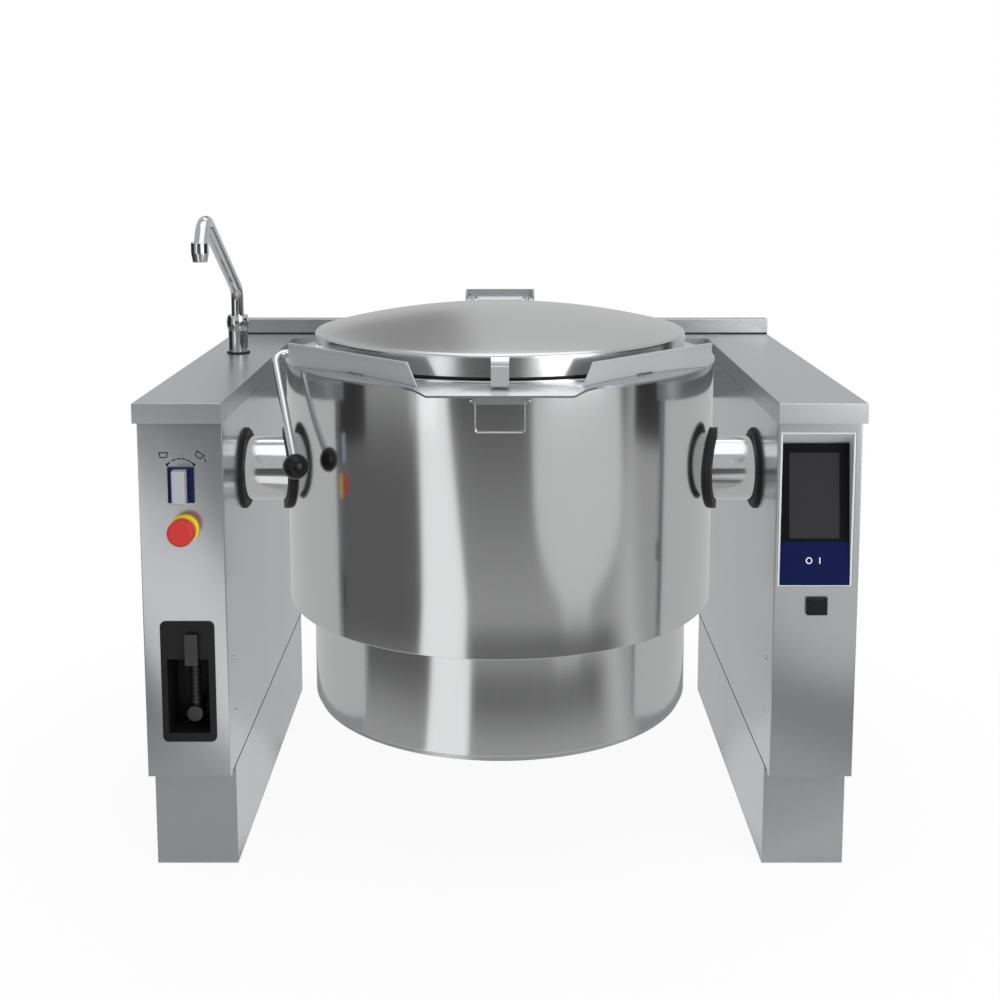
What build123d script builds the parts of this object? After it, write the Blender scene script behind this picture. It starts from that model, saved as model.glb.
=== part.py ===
"""Tilting boiling pan: a round jacketed pan hung on two trunnions between two service columns.

Millimetres, +Z up, the front towards -Y. The origin is on the floor, in the middle of the width and of the
whole depth, from the pouring lip in front to the rear of the columns.
"""
from build123d import *
from math import acos, cos, pi, radians, sin, sqrt, tan
import os

os.makedirs("parts", exist_ok=True)

# The two columns
overall_width = 1000
column_width = 121
column_depth = 724
cap_top = 690
cap_skirt = 28
plinth_height = 150
plinth_setback = 53
service_recess = 30
plinth_floor = 3
panel_setback = 16
panel_return = 14
sheet = 2
edge_radius = 1.5
beam_depth = 82
beam_height = 110
beam_wall = 2.5
upstand_height = 28
upstand_depth = 24

# Fits
fit_gap = 0.05
seat_gap = 0.2
bolt_gap = 0.5

# The tilt axis and what carries it
tilt_setback = 179
tilt_height = 558.5
trunnion_radius = 47
trunnion_wall = 5
trunnion_entry = 3
trunnion_gap = 3
journal_radius = 25
journal_bore_radius = 12
journal_overhang = 3
frame_sheet = 5
frame_foot = 88
frame_front_gap = 69
frame_top_gap = 8
frame_window = 150
bearing_flange = 110
bearing_flange_thick = 12
bearing_boss_radius = 42
bearing_length = 34
bush_wall = 5
bolt_spacing = 84
bolt_head_radius = 9
bolt_head_height = 6
seal_radius = 60.2
seal_length = 6
seal_taper = 3
seal_bore_gap = 0.4
collar_length = 8

# The tilt drive
gear_module = 3
gear_dedendum = 1.25
sector_teeth = 60
sector_teeth_kept = 22
pinion_teeth = 15
pressure_angle = 20
gear_backlash = 0.3
flank_steps = 4
gear_width = 16
sector_inset = 66
sector_hub_radius = 36
sector_hole_radius = 9
pinion_overhang = 1
drive_shaft_radius = 8
gearbox_radius = 34
gearbox_thick = 42
motor_radius = 36
motor_length = 150
motor_shift = 38
tilt_range = 90

# The pan
lip_reach = 80
lip_half_width = 96
lip_depth = 30
lip_drop = 11
lip_run = 108
pan_setback = 248
cladding_radius = 324
cladding_bottom = 357
pan_casing_radius = 287
base_cover_thick = 6.5
base_cover_inset = 4
sweep_gap = 9
deck_sheet = 3
deck_overhang = 1.5
deck_fall = 4
brim_height = 728
brim_radius = 298
brim_sheet = 2
vessel_radius = 255
vessel_wall = 3
vessel_depth = 463
under_vessel_gap = 61
dish_depth = 80
jacket_gap = 11.5
jacket_wall = 2.5
jacket_dish_gap = 20
jacket_top_gap = 128
insulation_top_gap = 28
element_radius = 4
element_first_radius = 70
element_pitch = 40
element_count = 3
element_carriers = 3
pad_thick = 6
pad_size = 150

# The side guards of the pouring deck
guard_sheet = 2
guard_turn = 41.7
guard_start_x = 92.6
guard_start_setback = 13
guard_front_foot = 3
guard_front_run = 40
guard_rear_foot = 260
guard_rear_run = 283
guard_front_top = 752.6
guard_rear_top = 755.5
guard_rear_heel = 738
guard_hem = 4

# The strainer clip below the lip
clip_width = 72
clip_height = 8.5
clip_thick = 3.6
clip_pin_drop = 4
clip_pin_radius = 1.25
clip_ball_radius = 2
clip_wire_radius = 1.1
clip_wire_half = 32.5
clip_wire_drop = 42
clip_wire_bend = 5
clip_slot = 3.4

# The lid
lid_radius = 280.5
lid_skirt_bottom = 731
lid_rim_height = 761
lid_top = 797
lid_edge_radius = 3.5
lid_seal_width = 11
lid_seal_proud = 1
lid_seal_gap = 0.3
tab_width = 24
tab_thick = 3
tab_root_height = 757
tab_bend_reach = 20
tab_bend_height = 748
tab_end_reach = 30
tab_end_height = 724
hinge_setback = 570
hinge_height = 765
hinge_pin_radius = 6
hinge_barrel_radius = 10
hinge_leaf_half = 40
hinge_leaf_sheet = 5
hinge_leaf_drop = 22
hinge_half_width = 57
hinge_flare = 12
hinge_plate = 3
hinge_plate_top = 786
hinge_plate_reach = 13
hinge_cheek_reach = 21
hinge_cheek_slope = 13
spring_wire_radius = 1.5
spring_turns = 3
spring_pitch = 4
spring_inset = 1.5
lever_rod_radius = 6
lever_pad_radius = 11
lever_pad_thick = 4
lever_height = 737.5
lever_bend = 16
lever_root_x = 264
lever_root_setback = 160
lever_corner_x = 327
lever_corner_setback = 131
ball_radius = 18
ball_x = 284
ball_setback = 36
ball_height = 594

# The tap
tap_inset = 57
tap_setback = 461
tap_base_radius = 16.4
tap_base_height = 39
tap_nut_radius = 18.7
tap_nut_height = 26
tap_tube_radius = 10.3
tap_tube_wall = 1.5
tap_socket_depth = 20
tap_shank_radius = 10
tap_shank_length = 40
tap_elbow_height = 797
tap_peak_setback = 222
tap_peak_height = 932
tap_mouth_setback = 189
tap_mouth_height = 881
tap_bend_radius = 29
tap_nozzle_radius = 13
tap_nozzle_length = 18
water_pipe_radius = 7.5
water_pipe_height = 100
water_pipe_bend = 30
water_valve_height = 300
water_valve_size = 50

# The controls on the left column
control_inset = 61
switch_height = 573
switch_base_width = 36
switch_base_height = 50
switch_base_thick = 5
switch_base_chamfer = 2
switch_grip_width = 18
switch_grip_length = 46
switch_grip_chamfer = 2
switch_grip_reach = 16
switch_spindle_radius = 4
switch_body_size = 30
switch_body_depth = 38
stop_inset = 64
stop_drop = 62
stop_collar_radius = 20
stop_collar_thick = 6
stop_head_radius = 18.5
stop_head_thick = 17
stop_head_round = 5
stop_stem_radius = 6
stop_stem_length = 22
stop_travel = 4
control_hole_radius = 11
niche_inset = 63.3
niche_height = 290.5
niche_plate_width = 76
niche_plate_height = 176
niche_plate_thick = 2.5
niche_corner = 8
niche_width = 62
niche_tall = 112
niche_low_shift = 20.5
niche_depth = 58
gun_inset = 70
gun_sink = 15
gun_head_radius = 11.5
gun_head_length = 26
gun_head_height = 242
gun_core_radius = 7
gun_top = 317.5
gun_rib_radius = 8
gun_rib_count = 9
gun_rib_pitch = 6
gun_rib_thick = 3.5
gun_rib_first = 256
gun_guide_radius = 6
gun_guide_overlap = 10
trigger_width = 18
trigger_top = 362
trigger_thick = 4
trigger_pivot_height = 320
trigger_pivot_reach = 11.5
trigger_barrel_radius = 3
trigger_barrel_width = 11
trigger_pin_radius = 1.5
trigger_plate_gap = 3
trigger_cheek = 2

# The controls and the electrical parts of the right column
display_inset = 63
display_width = 104
display_bottom = 428
display_top = 647
display_glass_height = 196
display_glass_thick = 4
display_lean = 24
display_side = 2.5
port_inset = 59.5
port_drop = 27
port_width = 29
port_tall = 25
port_cover_thick = 4
port_plate_thick = 1
port_socket_width = 16
port_socket_tall = 10
port_socket_wall = 1.5
port_socket_depth = 18
port_pin_radius = 1
port_barrel_radius = 2
port_lug = 3
box_inset = 54
box_width = 84
box_front_gap = 82
box_depth = 220
box_height = 240
box_bottom = 60
contactor_count = 4
contactor_width = 45
contactor_height = 74
contactor_depth = 62
contactor_gap = 3
contactor_level = 470
rail_height = 35
rail_thick = 7.5
gland_radius = 10
gland_bore_radius = 7
gland_nut_radius = 14
gland_nut_thick = 8
gland_height = 75
gland_reach = 18

# Places worked out from the sizes above
total_depth = column_depth + lip_reach
rear = total_depth / 2
cap_front = rear - column_depth
lip_front = cap_front - lip_reach
inner_x = overall_width / 2 - column_width
column_x = overall_width / 2 - column_width / 2
column_y = (cap_front + rear) / 2
casing_width = column_width - 2 * sheet
casing_inner_x = inner_x + sheet
casing_top = cap_top - sheet
panel_front = cap_front + panel_setback
casing_front = panel_front + panel_return
casing_rear = rear - sheet
plinth_front = cap_front + plinth_setback
plinth_rear = casing_rear - service_recess
tilt_y = cap_front + tilt_setback
pan_y = cap_front + pan_setback
pan_axis = Axis((0, pan_y, 0), (0, 0, 1))
frame_x = casing_inner_x + sheet
bearing_x = frame_x + frame_sheet
gearbox_x = bearing_x + gearbox_thick
gear_x = overall_width / 2 - sector_inset
beam_front = casing_rear - beam_depth
sweep_radius = beam_front - tilt_y - sweep_gap
deck_top = brim_height - brim_sheet
pan_casing_bottom = brim_height - vessel_depth - under_vessel_gap
tap_x = overall_width / 2 - tap_inset
control_x = overall_width / 2 - control_inset
stop_x = overall_width / 2 - stop_inset
stop_height = switch_height - stop_drop
niche_x = overall_width / 2 - niche_inset
gun_x = overall_width / 2 - gun_inset
display_x = overall_width / 2 - display_inset
port_x = overall_width / 2 - port_inset
port_height = display_bottom - port_drop
box_x = overall_width / 2 - box_inset
sides = {"left": -1, "right": 1}


def save(piece, label):
    """Name a finished piece and write it to its own file."""
    piece.part.label = label
    export_step(piece.part, f"parts/{label}.step")


def facing_front(y):
    """The upright plane at y whose normal points to the front, with local x along +X and local y up."""
    return Plane(origin=(0, y, 0), x_dir=(1, 0, 0), z_dir=(0, -1, 0))


# Columns

def column_plinth(side):
    """Open-topped base box on the floor, set back at the toe and at the rear for the services."""
    depth = plinth_rear - plinth_front
    centre = (side * column_x, (plinth_front + plinth_rear) / 2)
    with BuildPart() as piece:
        with BuildSketch():
            with Locations(centre):
                Rectangle(casing_width, depth)
        extrude(amount=plinth_height)
        with BuildSketch(Plane.XY.offset(plinth_floor)):
            with Locations(centre):
                Rectangle(casing_width - 2 * sheet, depth - 2 * sheet)
        extrude(amount=plinth_height - plinth_floor, mode=Mode.SUBTRACT)
        inlet_x = column_x if side > 0 else -tap_x
        inlet_z = gland_height if side > 0 else water_pipe_height
        inlet_radius = gland_radius if side > 0 else water_pipe_radius + bolt_gap
        with BuildSketch(facing_front(plinth_rear)):
            with Locations((inlet_x, inlet_z)):
                Circle(inlet_radius + fit_gap)
        extrude(amount=sheet, mode=Mode.SUBTRACT)
    return piece


def column_casing(side):
    """Sheet wrapped round the outer side, the rear and the inner side, with the trunnion's hole."""
    depth = casing_rear - casing_front
    centre_y = (casing_front + casing_rear) / 2
    with BuildPart() as piece:
        with BuildSketch(Plane.XY.offset(plinth_height)):
            with Locations((side * column_x, centre_y)):
                Rectangle(casing_width, depth)
            with Locations((side * column_x, centre_y - sheet)):
                Rectangle(casing_width - 2 * sheet, depth, mode=Mode.SUBTRACT)
        extrude(amount=casing_top - plinth_height)
        with BuildSketch(Plane.YZ.offset(side * casing_inner_x)):
            with Locations((tilt_y, tilt_height)):
                Circle(trunnion_radius + trunnion_gap)
        extrude(amount=side * sheet, mode=Mode.SUBTRACT)
    return piece


def column_cap(side):
    """Flat worktop of the column with a folded skirt."""
    with BuildPart() as piece:
        with BuildSketch(Plane.XY.offset(cap_top - cap_skirt)):
            with Locations((side * column_x, column_y)):
                Rectangle(column_width, column_depth)
        extrude(amount=cap_skirt)
        fillet(piece.edges().group_by(Axis.Z)[-1], edge_radius)
        with BuildSketch(Plane.XY.offset(cap_top - cap_skirt)):
            with Locations((side * column_x, column_y)):
                Rectangle(column_width - 2 * sheet, column_depth - 2 * sheet)
        extrude(amount=cap_skirt - sheet, mode=Mode.SUBTRACT)
        if side < 0:
            with BuildSketch(Plane.XY.offset(cap_top - sheet)):
                with Locations((-tap_x, cap_front + tap_setback)):
                    Circle(tap_shank_radius + bolt_gap)
            extrude(amount=sheet, mode=Mode.SUBTRACT)
    return piece


def front_panel(side, windows, bores):
    """Shallow tray that closes the column's front, with rectangular windows and round bores."""
    tall = casing_top - plinth_height
    centre = (side * column_x, (casing_top + plinth_height) / 2)
    foot_rear = plinth_front + sheet
    with BuildPart() as piece:
        with BuildSketch(facing_front(casing_front)):
            with Locations(centre):
                Rectangle(casing_width, tall)
        extrude(amount=panel_return)
        fillet(piece.faces().sort_by(Axis.Y)[0].edges(), edge_radius)
        with BuildSketch(facing_front(casing_front)):
            with Locations(centre):
                Rectangle(casing_width - 2 * sheet, tall - 2 * sheet)
        extrude(amount=panel_return - sheet, mode=Mode.SUBTRACT)
        with BuildSketch(Plane.XY.offset(plinth_height)):
            with Locations((side * column_x, (casing_front + foot_rear) / 2)):
                Rectangle(casing_width - 4 * sheet, foot_rear - casing_front)
        extrude(amount=sheet)
        with BuildSketch(facing_front(panel_front + sheet)):
            for x, z, wide, high in windows:
                with Locations((x, z)):
                    Rectangle(wide, high)
            for x, z, radius in bores:
                with Locations((x, z)):
                    Circle(radius)
        extrude(amount=sheet, mode=Mode.SUBTRACT)
    return piece


def side_frame(side):
    """Angled plate inside the column: it stands on the plinth's floor and carries the bearing."""
    front = cap_front + frame_front_gap
    length = plinth_rear - frame_top_gap - front
    top = casing_top - frame_top_gap
    with BuildPart() as piece:
        with BuildSketch(facing_front(front)):
            with BuildLine():
                Polyline(
                    (side * frame_x, plinth_floor),
                    (side * (frame_x + frame_foot), plinth_floor),
                    (side * (frame_x + frame_foot), plinth_floor + frame_sheet),
                    (side * (frame_x + frame_sheet), plinth_floor + frame_sheet),
                    (side * (frame_x + frame_sheet), top),
                    (side * frame_x, top),
                    close=True,
                )
            make_face()
        extrude(amount=-length)
        with BuildSketch(Plane.YZ.offset(side * frame_x)):
            with Locations((tilt_y, tilt_height)):
                Circle(journal_radius + bush_wall)
            with Locations((front + (length + frame_window) / 2, plinth_height + frame_window)):
                Rectangle(2 * frame_window, frame_window)
        extrude(amount=side * frame_sheet, mode=Mode.SUBTRACT)
    return piece


left_windows = [(-niche_x, niche_height - niche_low_shift, niche_width, niche_tall)]
left_bores = [(-control_x, switch_height, control_hole_radius), (-stop_x, stop_height, control_hole_radius)]
display_middle = (display_top + display_bottom) / 2
right_windows = [
    (display_x, display_middle, display_width, display_top - display_bottom),
    (port_x, port_height, port_socket_width, port_socket_tall),
]
for name, side in sides.items():
    save(column_plinth(side), f"{name}_plinth")
    save(column_casing(side), f"{name}_casing")
    save(column_cap(side), f"{name}_cap")
    save(side_frame(side), f"{name}_frame")
save(front_panel(-1, left_windows, left_bores), "left_front_panel")
save(front_panel(1, right_windows, []), "right_front_panel")

# Box beam that joins the columns at the rear, notched for the skirts of the caps
with BuildPart() as cross_beam:
    with BuildSketch(Plane.YZ.offset(-casing_inner_x)):
        with Locations(((beam_front + casing_rear) / 2, cap_top - beam_height / 2)):
            Rectangle(beam_depth, beam_height)
            Rectangle(beam_depth - 2 * beam_wall, beam_height - 2 * beam_wall, mode=Mode.SUBTRACT)
    extrude(amount=2 * casing_inner_x)
    with BuildSketch(Plane.XY.offset(cap_top - cap_skirt)):
        for side in sides.values():
            with Locations((side * (inner_x + sheet / 2), column_y)):
                Rectangle(sheet, column_depth)
    extrude(amount=cap_skirt, mode=Mode.SUBTRACT)
save(cross_beam, "cross_beam")

# Folded splash-back over the whole width
with BuildPart() as upstand:
    with BuildSketch(Plane.XY.offset(cap_top)):
        with Locations((0, rear - upstand_depth / 2)):
            Rectangle(overall_width, upstand_depth)
    extrude(amount=upstand_height)
    fillet(upstand.edges().group_by(Axis.Z)[-1], edge_radius)
    with BuildSketch(Plane.XY.offset(cap_top)):
        with Locations((0, rear - upstand_depth / 2)):
            Rectangle(overall_width - 2 * sheet, upstand_depth - 2 * sheet)
    extrude(amount=upstand_height - sheet, mode=Mode.SUBTRACT)
save(upstand, "upstand")


# Bearings and seals of the tilt axis

def ring_pair(label, start_x, length, radius, bore):
    """Two equal rings on the tilt axis, one in each column."""
    with BuildPart() as pair:
        for side in sides.values():
            with BuildSketch(Plane.YZ.offset(side * start_x)):
                with Locations((tilt_y, tilt_height)):
                    Circle(radius)
                    Circle(bore, mode=Mode.SUBTRACT)
            extrude(amount=side * length)
    save(pair, label)


ring_pair("bearing_bushes", bearing_x, bearing_length, journal_radius + bush_wall, journal_radius + fit_gap)

# Square flanged housings bolted to the side frames
with BuildPart() as bearing_housings:
    for side in sides.values():
        housing_bore = journal_radius + bush_wall + fit_gap
        with BuildSketch(Plane.YZ.offset(side * bearing_x)):
            with Locations((tilt_y, tilt_height)):
                RectangleRounded(bearing_flange, bearing_flange, bolt_head_radius)
                Circle(housing_bore, mode=Mode.SUBTRACT)
        extrude(amount=side * bearing_flange_thick)
        with BuildSketch(Plane.YZ.offset(side * bearing_x)):
            with Locations((tilt_y, tilt_height)):
                Circle(bearing_boss_radius)
                Circle(housing_bore, mode=Mode.SUBTRACT)
        extrude(amount=side * bearing_length)
        with BuildSketch(Plane.YZ.offset(side * (bearing_x + bearing_flange_thick))):
            with Locations((tilt_y, tilt_height)):
                with GridLocations(bolt_spacing, bolt_spacing, 2, 2):
                    RegularPolygon(bolt_head_radius, 6)
        extrude(amount=side * bolt_head_height)
save(bearing_housings, "bearing_housings")

# Rubber rings on the columns' inner sides, tapered towards the pan
with BuildPart() as shaft_seals:
    for side in sides.values():
        bore = trunnion_radius + seal_bore_gap
        nose_x = casing_inner_x - seal_length
        profile_plane = Plane(origin=(0, tilt_y, tilt_height), x_dir=(side, 0, 0), z_dir=(0, -side, 0))
        with BuildSketch(profile_plane):
            with BuildLine():
                Polyline(
                    (casing_inner_x, bore),
                    (casing_inner_x, seal_radius),
                    (nose_x + seal_taper, seal_radius),
                    (nose_x, seal_radius - seal_taper),
                    (nose_x, bore),
                    close=True,
                )
            make_face()
        revolve(axis=Axis((0, tilt_y, tilt_height), (1, 0, 0)))
save(shaft_seals, "shaft_seals")


# Tilt drive

def gear_outline(teeth, turn):
    """Corner points of a spur gear with involute flanks, its first tooth centred at the angle turn."""
    pitch = gear_module * teeth / 2
    base = pitch * cos(radians(pressure_angle))
    tip = pitch + gear_module
    root = pitch - gear_dedendum * gear_module
    involute = tan(radians(pressure_angle)) - radians(pressure_angle)
    half_tooth = pi / 2 / teeth - gear_backlash / 4 / pitch
    first = max(base, root)
    flank = []
    for step in range(flank_steps + 1):
        radius = first + (tip - first) * step / flank_steps
        roll = acos(base / radius)
        flank.append((radius, half_tooth + involute - (tan(roll) - roll)))
    if root < base:
        flank.insert(0, (root, flank[0][1]))
    points = []
    for tooth in range(teeth):
        centre = radians(turn) + 2 * pi * tooth / teeth
        sweep = [(r, centre - a) for r, a in flank] + [(r, centre + a) for r, a in reversed(flank)]
        points += [(r * cos(a), r * sin(a)) for r, a in sweep]
    return points


centre_distance = gear_module * (sector_teeth + pinion_teeth) / 2
pinion_height = tilt_height - centre_distance
tooth_pitch = 360 / sector_teeth
sector_span = sector_teeth_kept * tooth_pitch
sector_end = -90 + (sector_span - tilt_range) / 2
sector_start = sector_end - sector_span
sector_middle = (sector_start + sector_end) / 2
sector_reach = gear_module * sector_teeth
hole_ring = (sector_hub_radius + gear_module * sector_teeth / 2) / 2

# Toothed sector keyed to the left journal; a tooth space faces the pinion at rest
with BuildPart() as tilt_sector:
    with BuildSketch(Plane.YZ.offset(-gear_x)) as sector_profile:
        with BuildLine():
            Polyline(*gear_outline(sector_teeth, -90 + tooth_pitch / 2), close=True)
        make_face()
        with BuildLine():
            Polyline(
                (0, 0),
                (sector_reach * cos(radians(sector_start)), sector_reach * sin(radians(sector_start))),
                (sector_reach * cos(radians(sector_middle)), sector_reach * sin(radians(sector_middle))),
                (sector_reach * cos(radians(sector_end)), sector_reach * sin(radians(sector_end))),
                close=True,
            )
        make_face(mode=Mode.INTERSECT)
        Circle(sector_hub_radius)
        for angle in (sector_middle - sector_span / 4, sector_middle, sector_middle + sector_span / 4):
            with Locations((hole_ring * cos(radians(angle)), hole_ring * sin(radians(angle)))):
                Circle(sector_hole_radius, mode=Mode.SUBTRACT)
        Circle(journal_radius + fit_gap, mode=Mode.SUBTRACT)
    extrude(amount=-gear_width)
tilt_sector.part.locate(Location((0, tilt_y, tilt_height)))
save(tilt_sector, "tilt_sector")

# Pinion on the gearmotor's output shaft
with BuildPart() as drive_pinion:
    with BuildSketch(Plane.YZ.offset(-gear_x + pinion_overhang)):
        with BuildLine():
            Polyline(*gear_outline(pinion_teeth, 90), close=True)
        make_face()
    extrude(amount=-gear_width - 2 * pinion_overhang)
    with BuildSketch(Plane.YZ.offset(-gear_x)):
        Circle(drive_shaft_radius)
    extrude(amount=gear_x - gearbox_x + gearbox_thick / 2)
drive_pinion.part.locate(Location((0, tilt_y, pinion_height)))
save(drive_pinion, "drive_pinion")

# Worm gearmotor bolted to the left side frame, with its motor hanging down
with BuildPart() as gearmotor:
    with BuildSketch(Plane.YZ.offset(-gearbox_x)):
        with Locations((tilt_y, pinion_height)):
            Circle(gearbox_radius)
        with Locations((tilt_y, pinion_height - gearbox_radius)):
            Rectangle(2 * gearbox_radius, 2 * gearbox_radius)
    extrude(amount=gearbox_thick)
    with BuildSketch(Plane.XY.offset(pinion_height - 2 * gearbox_radius)):
        with Locations((-bearing_x - motor_shift, tilt_y)):
            Circle(motor_radius)
    extrude(amount=-motor_length)
    with BuildSketch(Plane.YZ.offset(-gearbox_x)):
        with Locations((tilt_y, pinion_height)):
            Circle(drive_shaft_radius + fit_gap)
    extrude(amount=gearbox_thick, mode=Mode.SUBTRACT)
save(gearmotor, "gearmotor")


# Pan

def under_deck(drop):
    """Everything below the pouring deck's upper surface lowered by drop: flat under the brim, falling
    gently to the cladding all round and more steeply to the straight lip in front."""
    reach = 3 * cladding_radius
    fall = deck_fall / (cladding_radius - brim_radius)
    bend = lip_front + lip_depth
    slope = lip_drop / lip_depth
    with BuildPart() as space:
        with BuildSketch(Plane.YZ):
            with BuildLine():
                Polyline(
                    (pan_y, -cap_top),
                    (pan_y - reach, -cap_top),
                    (pan_y - reach, deck_top - drop - fall * (reach - brim_radius)),
                    (pan_y - brim_radius, deck_top - drop),
                    (pan_y, deck_top - drop),
                    close=True,
                )
            make_face()
        revolve(axis=pan_axis)
        with BuildSketch(Plane.YZ.offset(-reach)):
            with BuildLine():
                Polyline(
                    (bend, deck_top - drop),
                    (bend, deck_top + reach),
                    (bend - reach, deck_top + reach),
                    (bend - reach, deck_top - drop - slope * reach),
                    close=True,
                )
            make_face()
        extrude(amount=2 * reach, mode=Mode.SUBTRACT)
    return space.part


def round_form(radius, bottom, top, shift=0):
    """Upright round block on the pan's axis, or shifted along X, used to start or cut other pieces."""
    with BuildPart() as form:
        with BuildSketch(Plane.XY.offset(bottom)):
            with Locations((shift, pan_y)):
                Circle(radius)
        extrude(amount=top - bottom)
    return form.part


def tilt_form(radius):
    """Lying round block about the tilt axis, as long as the space between the columns."""
    with BuildPart() as form:
        with BuildSketch(Plane.YZ.offset(-inner_x)):
            with Locations((tilt_y, tilt_height)):
                Circle(radius)
        extrude(amount=2 * inner_x)
    return form.part


# Deck round the vessel's mouth with the straight pouring lip
with BuildPart() as pan_deck:
    with BuildSketch(Plane.XY.offset(tilt_height)):
        lip_root_x = lip_half_width + lip_run * cos(radians(guard_turn))
        lip_root_y = lip_front + lip_run * sin(radians(guard_turn))
        with BuildLine():
            Polyline(
                (-lip_half_width, lip_front),
                (lip_half_width, lip_front),
                (lip_root_x, lip_root_y),
                (-lip_root_x, lip_root_y),
                close=True,
            )
        make_face()
        with Locations((0, pan_y)):
            Circle(cladding_radius + deck_overhang)
            Circle(vessel_radius + vessel_wall + seat_gap, mode=Mode.SUBTRACT)
    extrude(amount=brim_height - tilt_height)
    add(under_deck(0), mode=Mode.INTERSECT)
    add(under_deck(deck_sheet), mode=Mode.SUBTRACT)
save(pan_deck, "pan_deck")

# Outer cladding: round skirt with a folded bottom ring and holes for the trunnions
with BuildPart() as cladding:
    add(round_form(cladding_radius, cladding_bottom, brim_height))
    add(round_form(cladding_radius - sheet, cladding_bottom + sheet, brim_height), mode=Mode.SUBTRACT)
    add(round_form(pan_casing_radius + seat_gap, cladding_bottom, brim_height), mode=Mode.SUBTRACT)
    add(under_deck(deck_sheet + seat_gap), mode=Mode.INTERSECT)
    add(tilt_form(trunnion_radius + seat_gap), mode=Mode.SUBTRACT)
save(cladding, "cladding")


def casing_form(inset):
    """The pan casing's full shape: its rear lower edge follows an arc about the tilt axis, clear of the beam."""
    with BuildPart() as form:
        add(round_form(pan_casing_radius - inset, pan_casing_bottom + inset, brim_height))
        add(tilt_form(sweep_radius - inset), mode=Mode.INTERSECT)
    return form.part


# Inner casing of the pan
with BuildPart() as pan_casing:
    add(casing_form(0))
    add(casing_form(sheet), mode=Mode.SUBTRACT)
    add(under_deck(deck_sheet + seat_gap), mode=Mode.INTERSECT)
save(pan_casing, "pan_casing")

# Cover plate under the pan
with BuildPart() as base_cover:
    add(round_form(pan_casing_radius - base_cover_inset, pan_casing_bottom - base_cover_thick, pan_casing_bottom))
    add(tilt_form(sweep_radius), mode=Mode.INTERSECT)
save(base_cover, "base_cover")

vessel_outer = vessel_radius + vessel_wall
knuckle = brim_height - vessel_depth + dish_depth
jacket_inner = vessel_outer + jacket_gap
jacket_outer = jacket_inner + jacket_wall
jacket_top = brim_height - jacket_top_gap
jacket_dish = dish_depth + vessel_wall + jacket_dish_gap


def dished_shell(radius, wall, dish, rim):
    """Round shell with an elliptical bottom: the outline is closed over the corner points of its rim."""
    with BuildPart() as shell:
        with BuildSketch(facing_front(pan_y)):
            with BuildLine():
                EllipticalCenterArc((0, knuckle), radius, dish, start_angle=270, arc_size=90)
                Polyline((radius, knuckle), *rim, (radius + wall, knuckle))
                EllipticalCenterArc((0, knuckle), radius + wall, dish + wall, start_angle=270, arc_size=90)
                Line((0, knuckle - dish), (0, knuckle - dish - wall))
            make_face()
        revolve(axis=pan_axis)
    return shell


vessel_rim = [
    (vessel_radius, brim_height),
    (brim_radius, brim_height),
    (brim_radius, brim_height - brim_sheet),
    (vessel_outer, brim_height - brim_sheet),
]
save(dished_shell(vessel_radius, vessel_wall, dish_depth, vessel_rim), "vessel")
jacket_rim = [
    (jacket_inner, jacket_top - jacket_wall),
    (vessel_outer + seat_gap, jacket_top - jacket_wall),
    (vessel_outer + seat_gap, jacket_top),
    (jacket_outer, jacket_top),
]
save(dished_shell(jacket_inner, jacket_wall, jacket_dish, jacket_rim), "jacket")


def jacket_floor(radius):
    """Height of the jacket's inner surface at a radius from the pan's axis."""
    return knuckle - jacket_dish * sqrt(1 - (radius / jacket_inner) ** 2)


def element_level(radius):
    """Height half-way between the vessel's outer surface and the jacket's inner surface."""
    vessel_under = knuckle - (dish_depth + vessel_wall) * sqrt(1 - (radius / vessel_outer) ** 2)
    return (jacket_floor(radius) + vessel_under) / 2


# Ring-shaped heating elements on upright carriers that stand on the jacket's bottom
element_radii = [element_first_radius + ring * element_pitch for ring in range(element_count)]
with BuildPart() as heating_elements:
    for radius in element_radii:
        with BuildSketch(facing_front(pan_y)):
            with Locations((radius, element_level(radius))):
                Circle(element_radius)
        revolve(axis=pan_axis)
    for carrier in range(element_carriers):
        angle = 2 * pi * carrier / element_carriers
        carrier_plane = Plane(origin=(0, pan_y, 0), x_dir=(cos(angle), sin(angle), 0), z_dir=(sin(angle), -cos(angle), 0))
        with BuildSketch(carrier_plane):
            with BuildLine():
                foot = [(radius, jacket_floor(radius) + seat_gap) for radius in element_radii]
                head = [(radius, element_level(radius)) for radius in reversed(element_radii)]
                Polyline(*foot, *head, close=True)
            make_face()
        extrude(amount=jacket_wall)
save(heating_elements, "heating_elements")

# Mineral wool sleeve between the jacket and the pan casing
with BuildPart() as insulation:
    wool_top = brim_height - insulation_top_gap
    add(round_form(pan_casing_radius - sheet - seat_gap, knuckle, wool_top))
    add(round_form(jacket_outer + seat_gap, knuckle, wool_top), mode=Mode.SUBTRACT)
save(insulation, "insulation")


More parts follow.
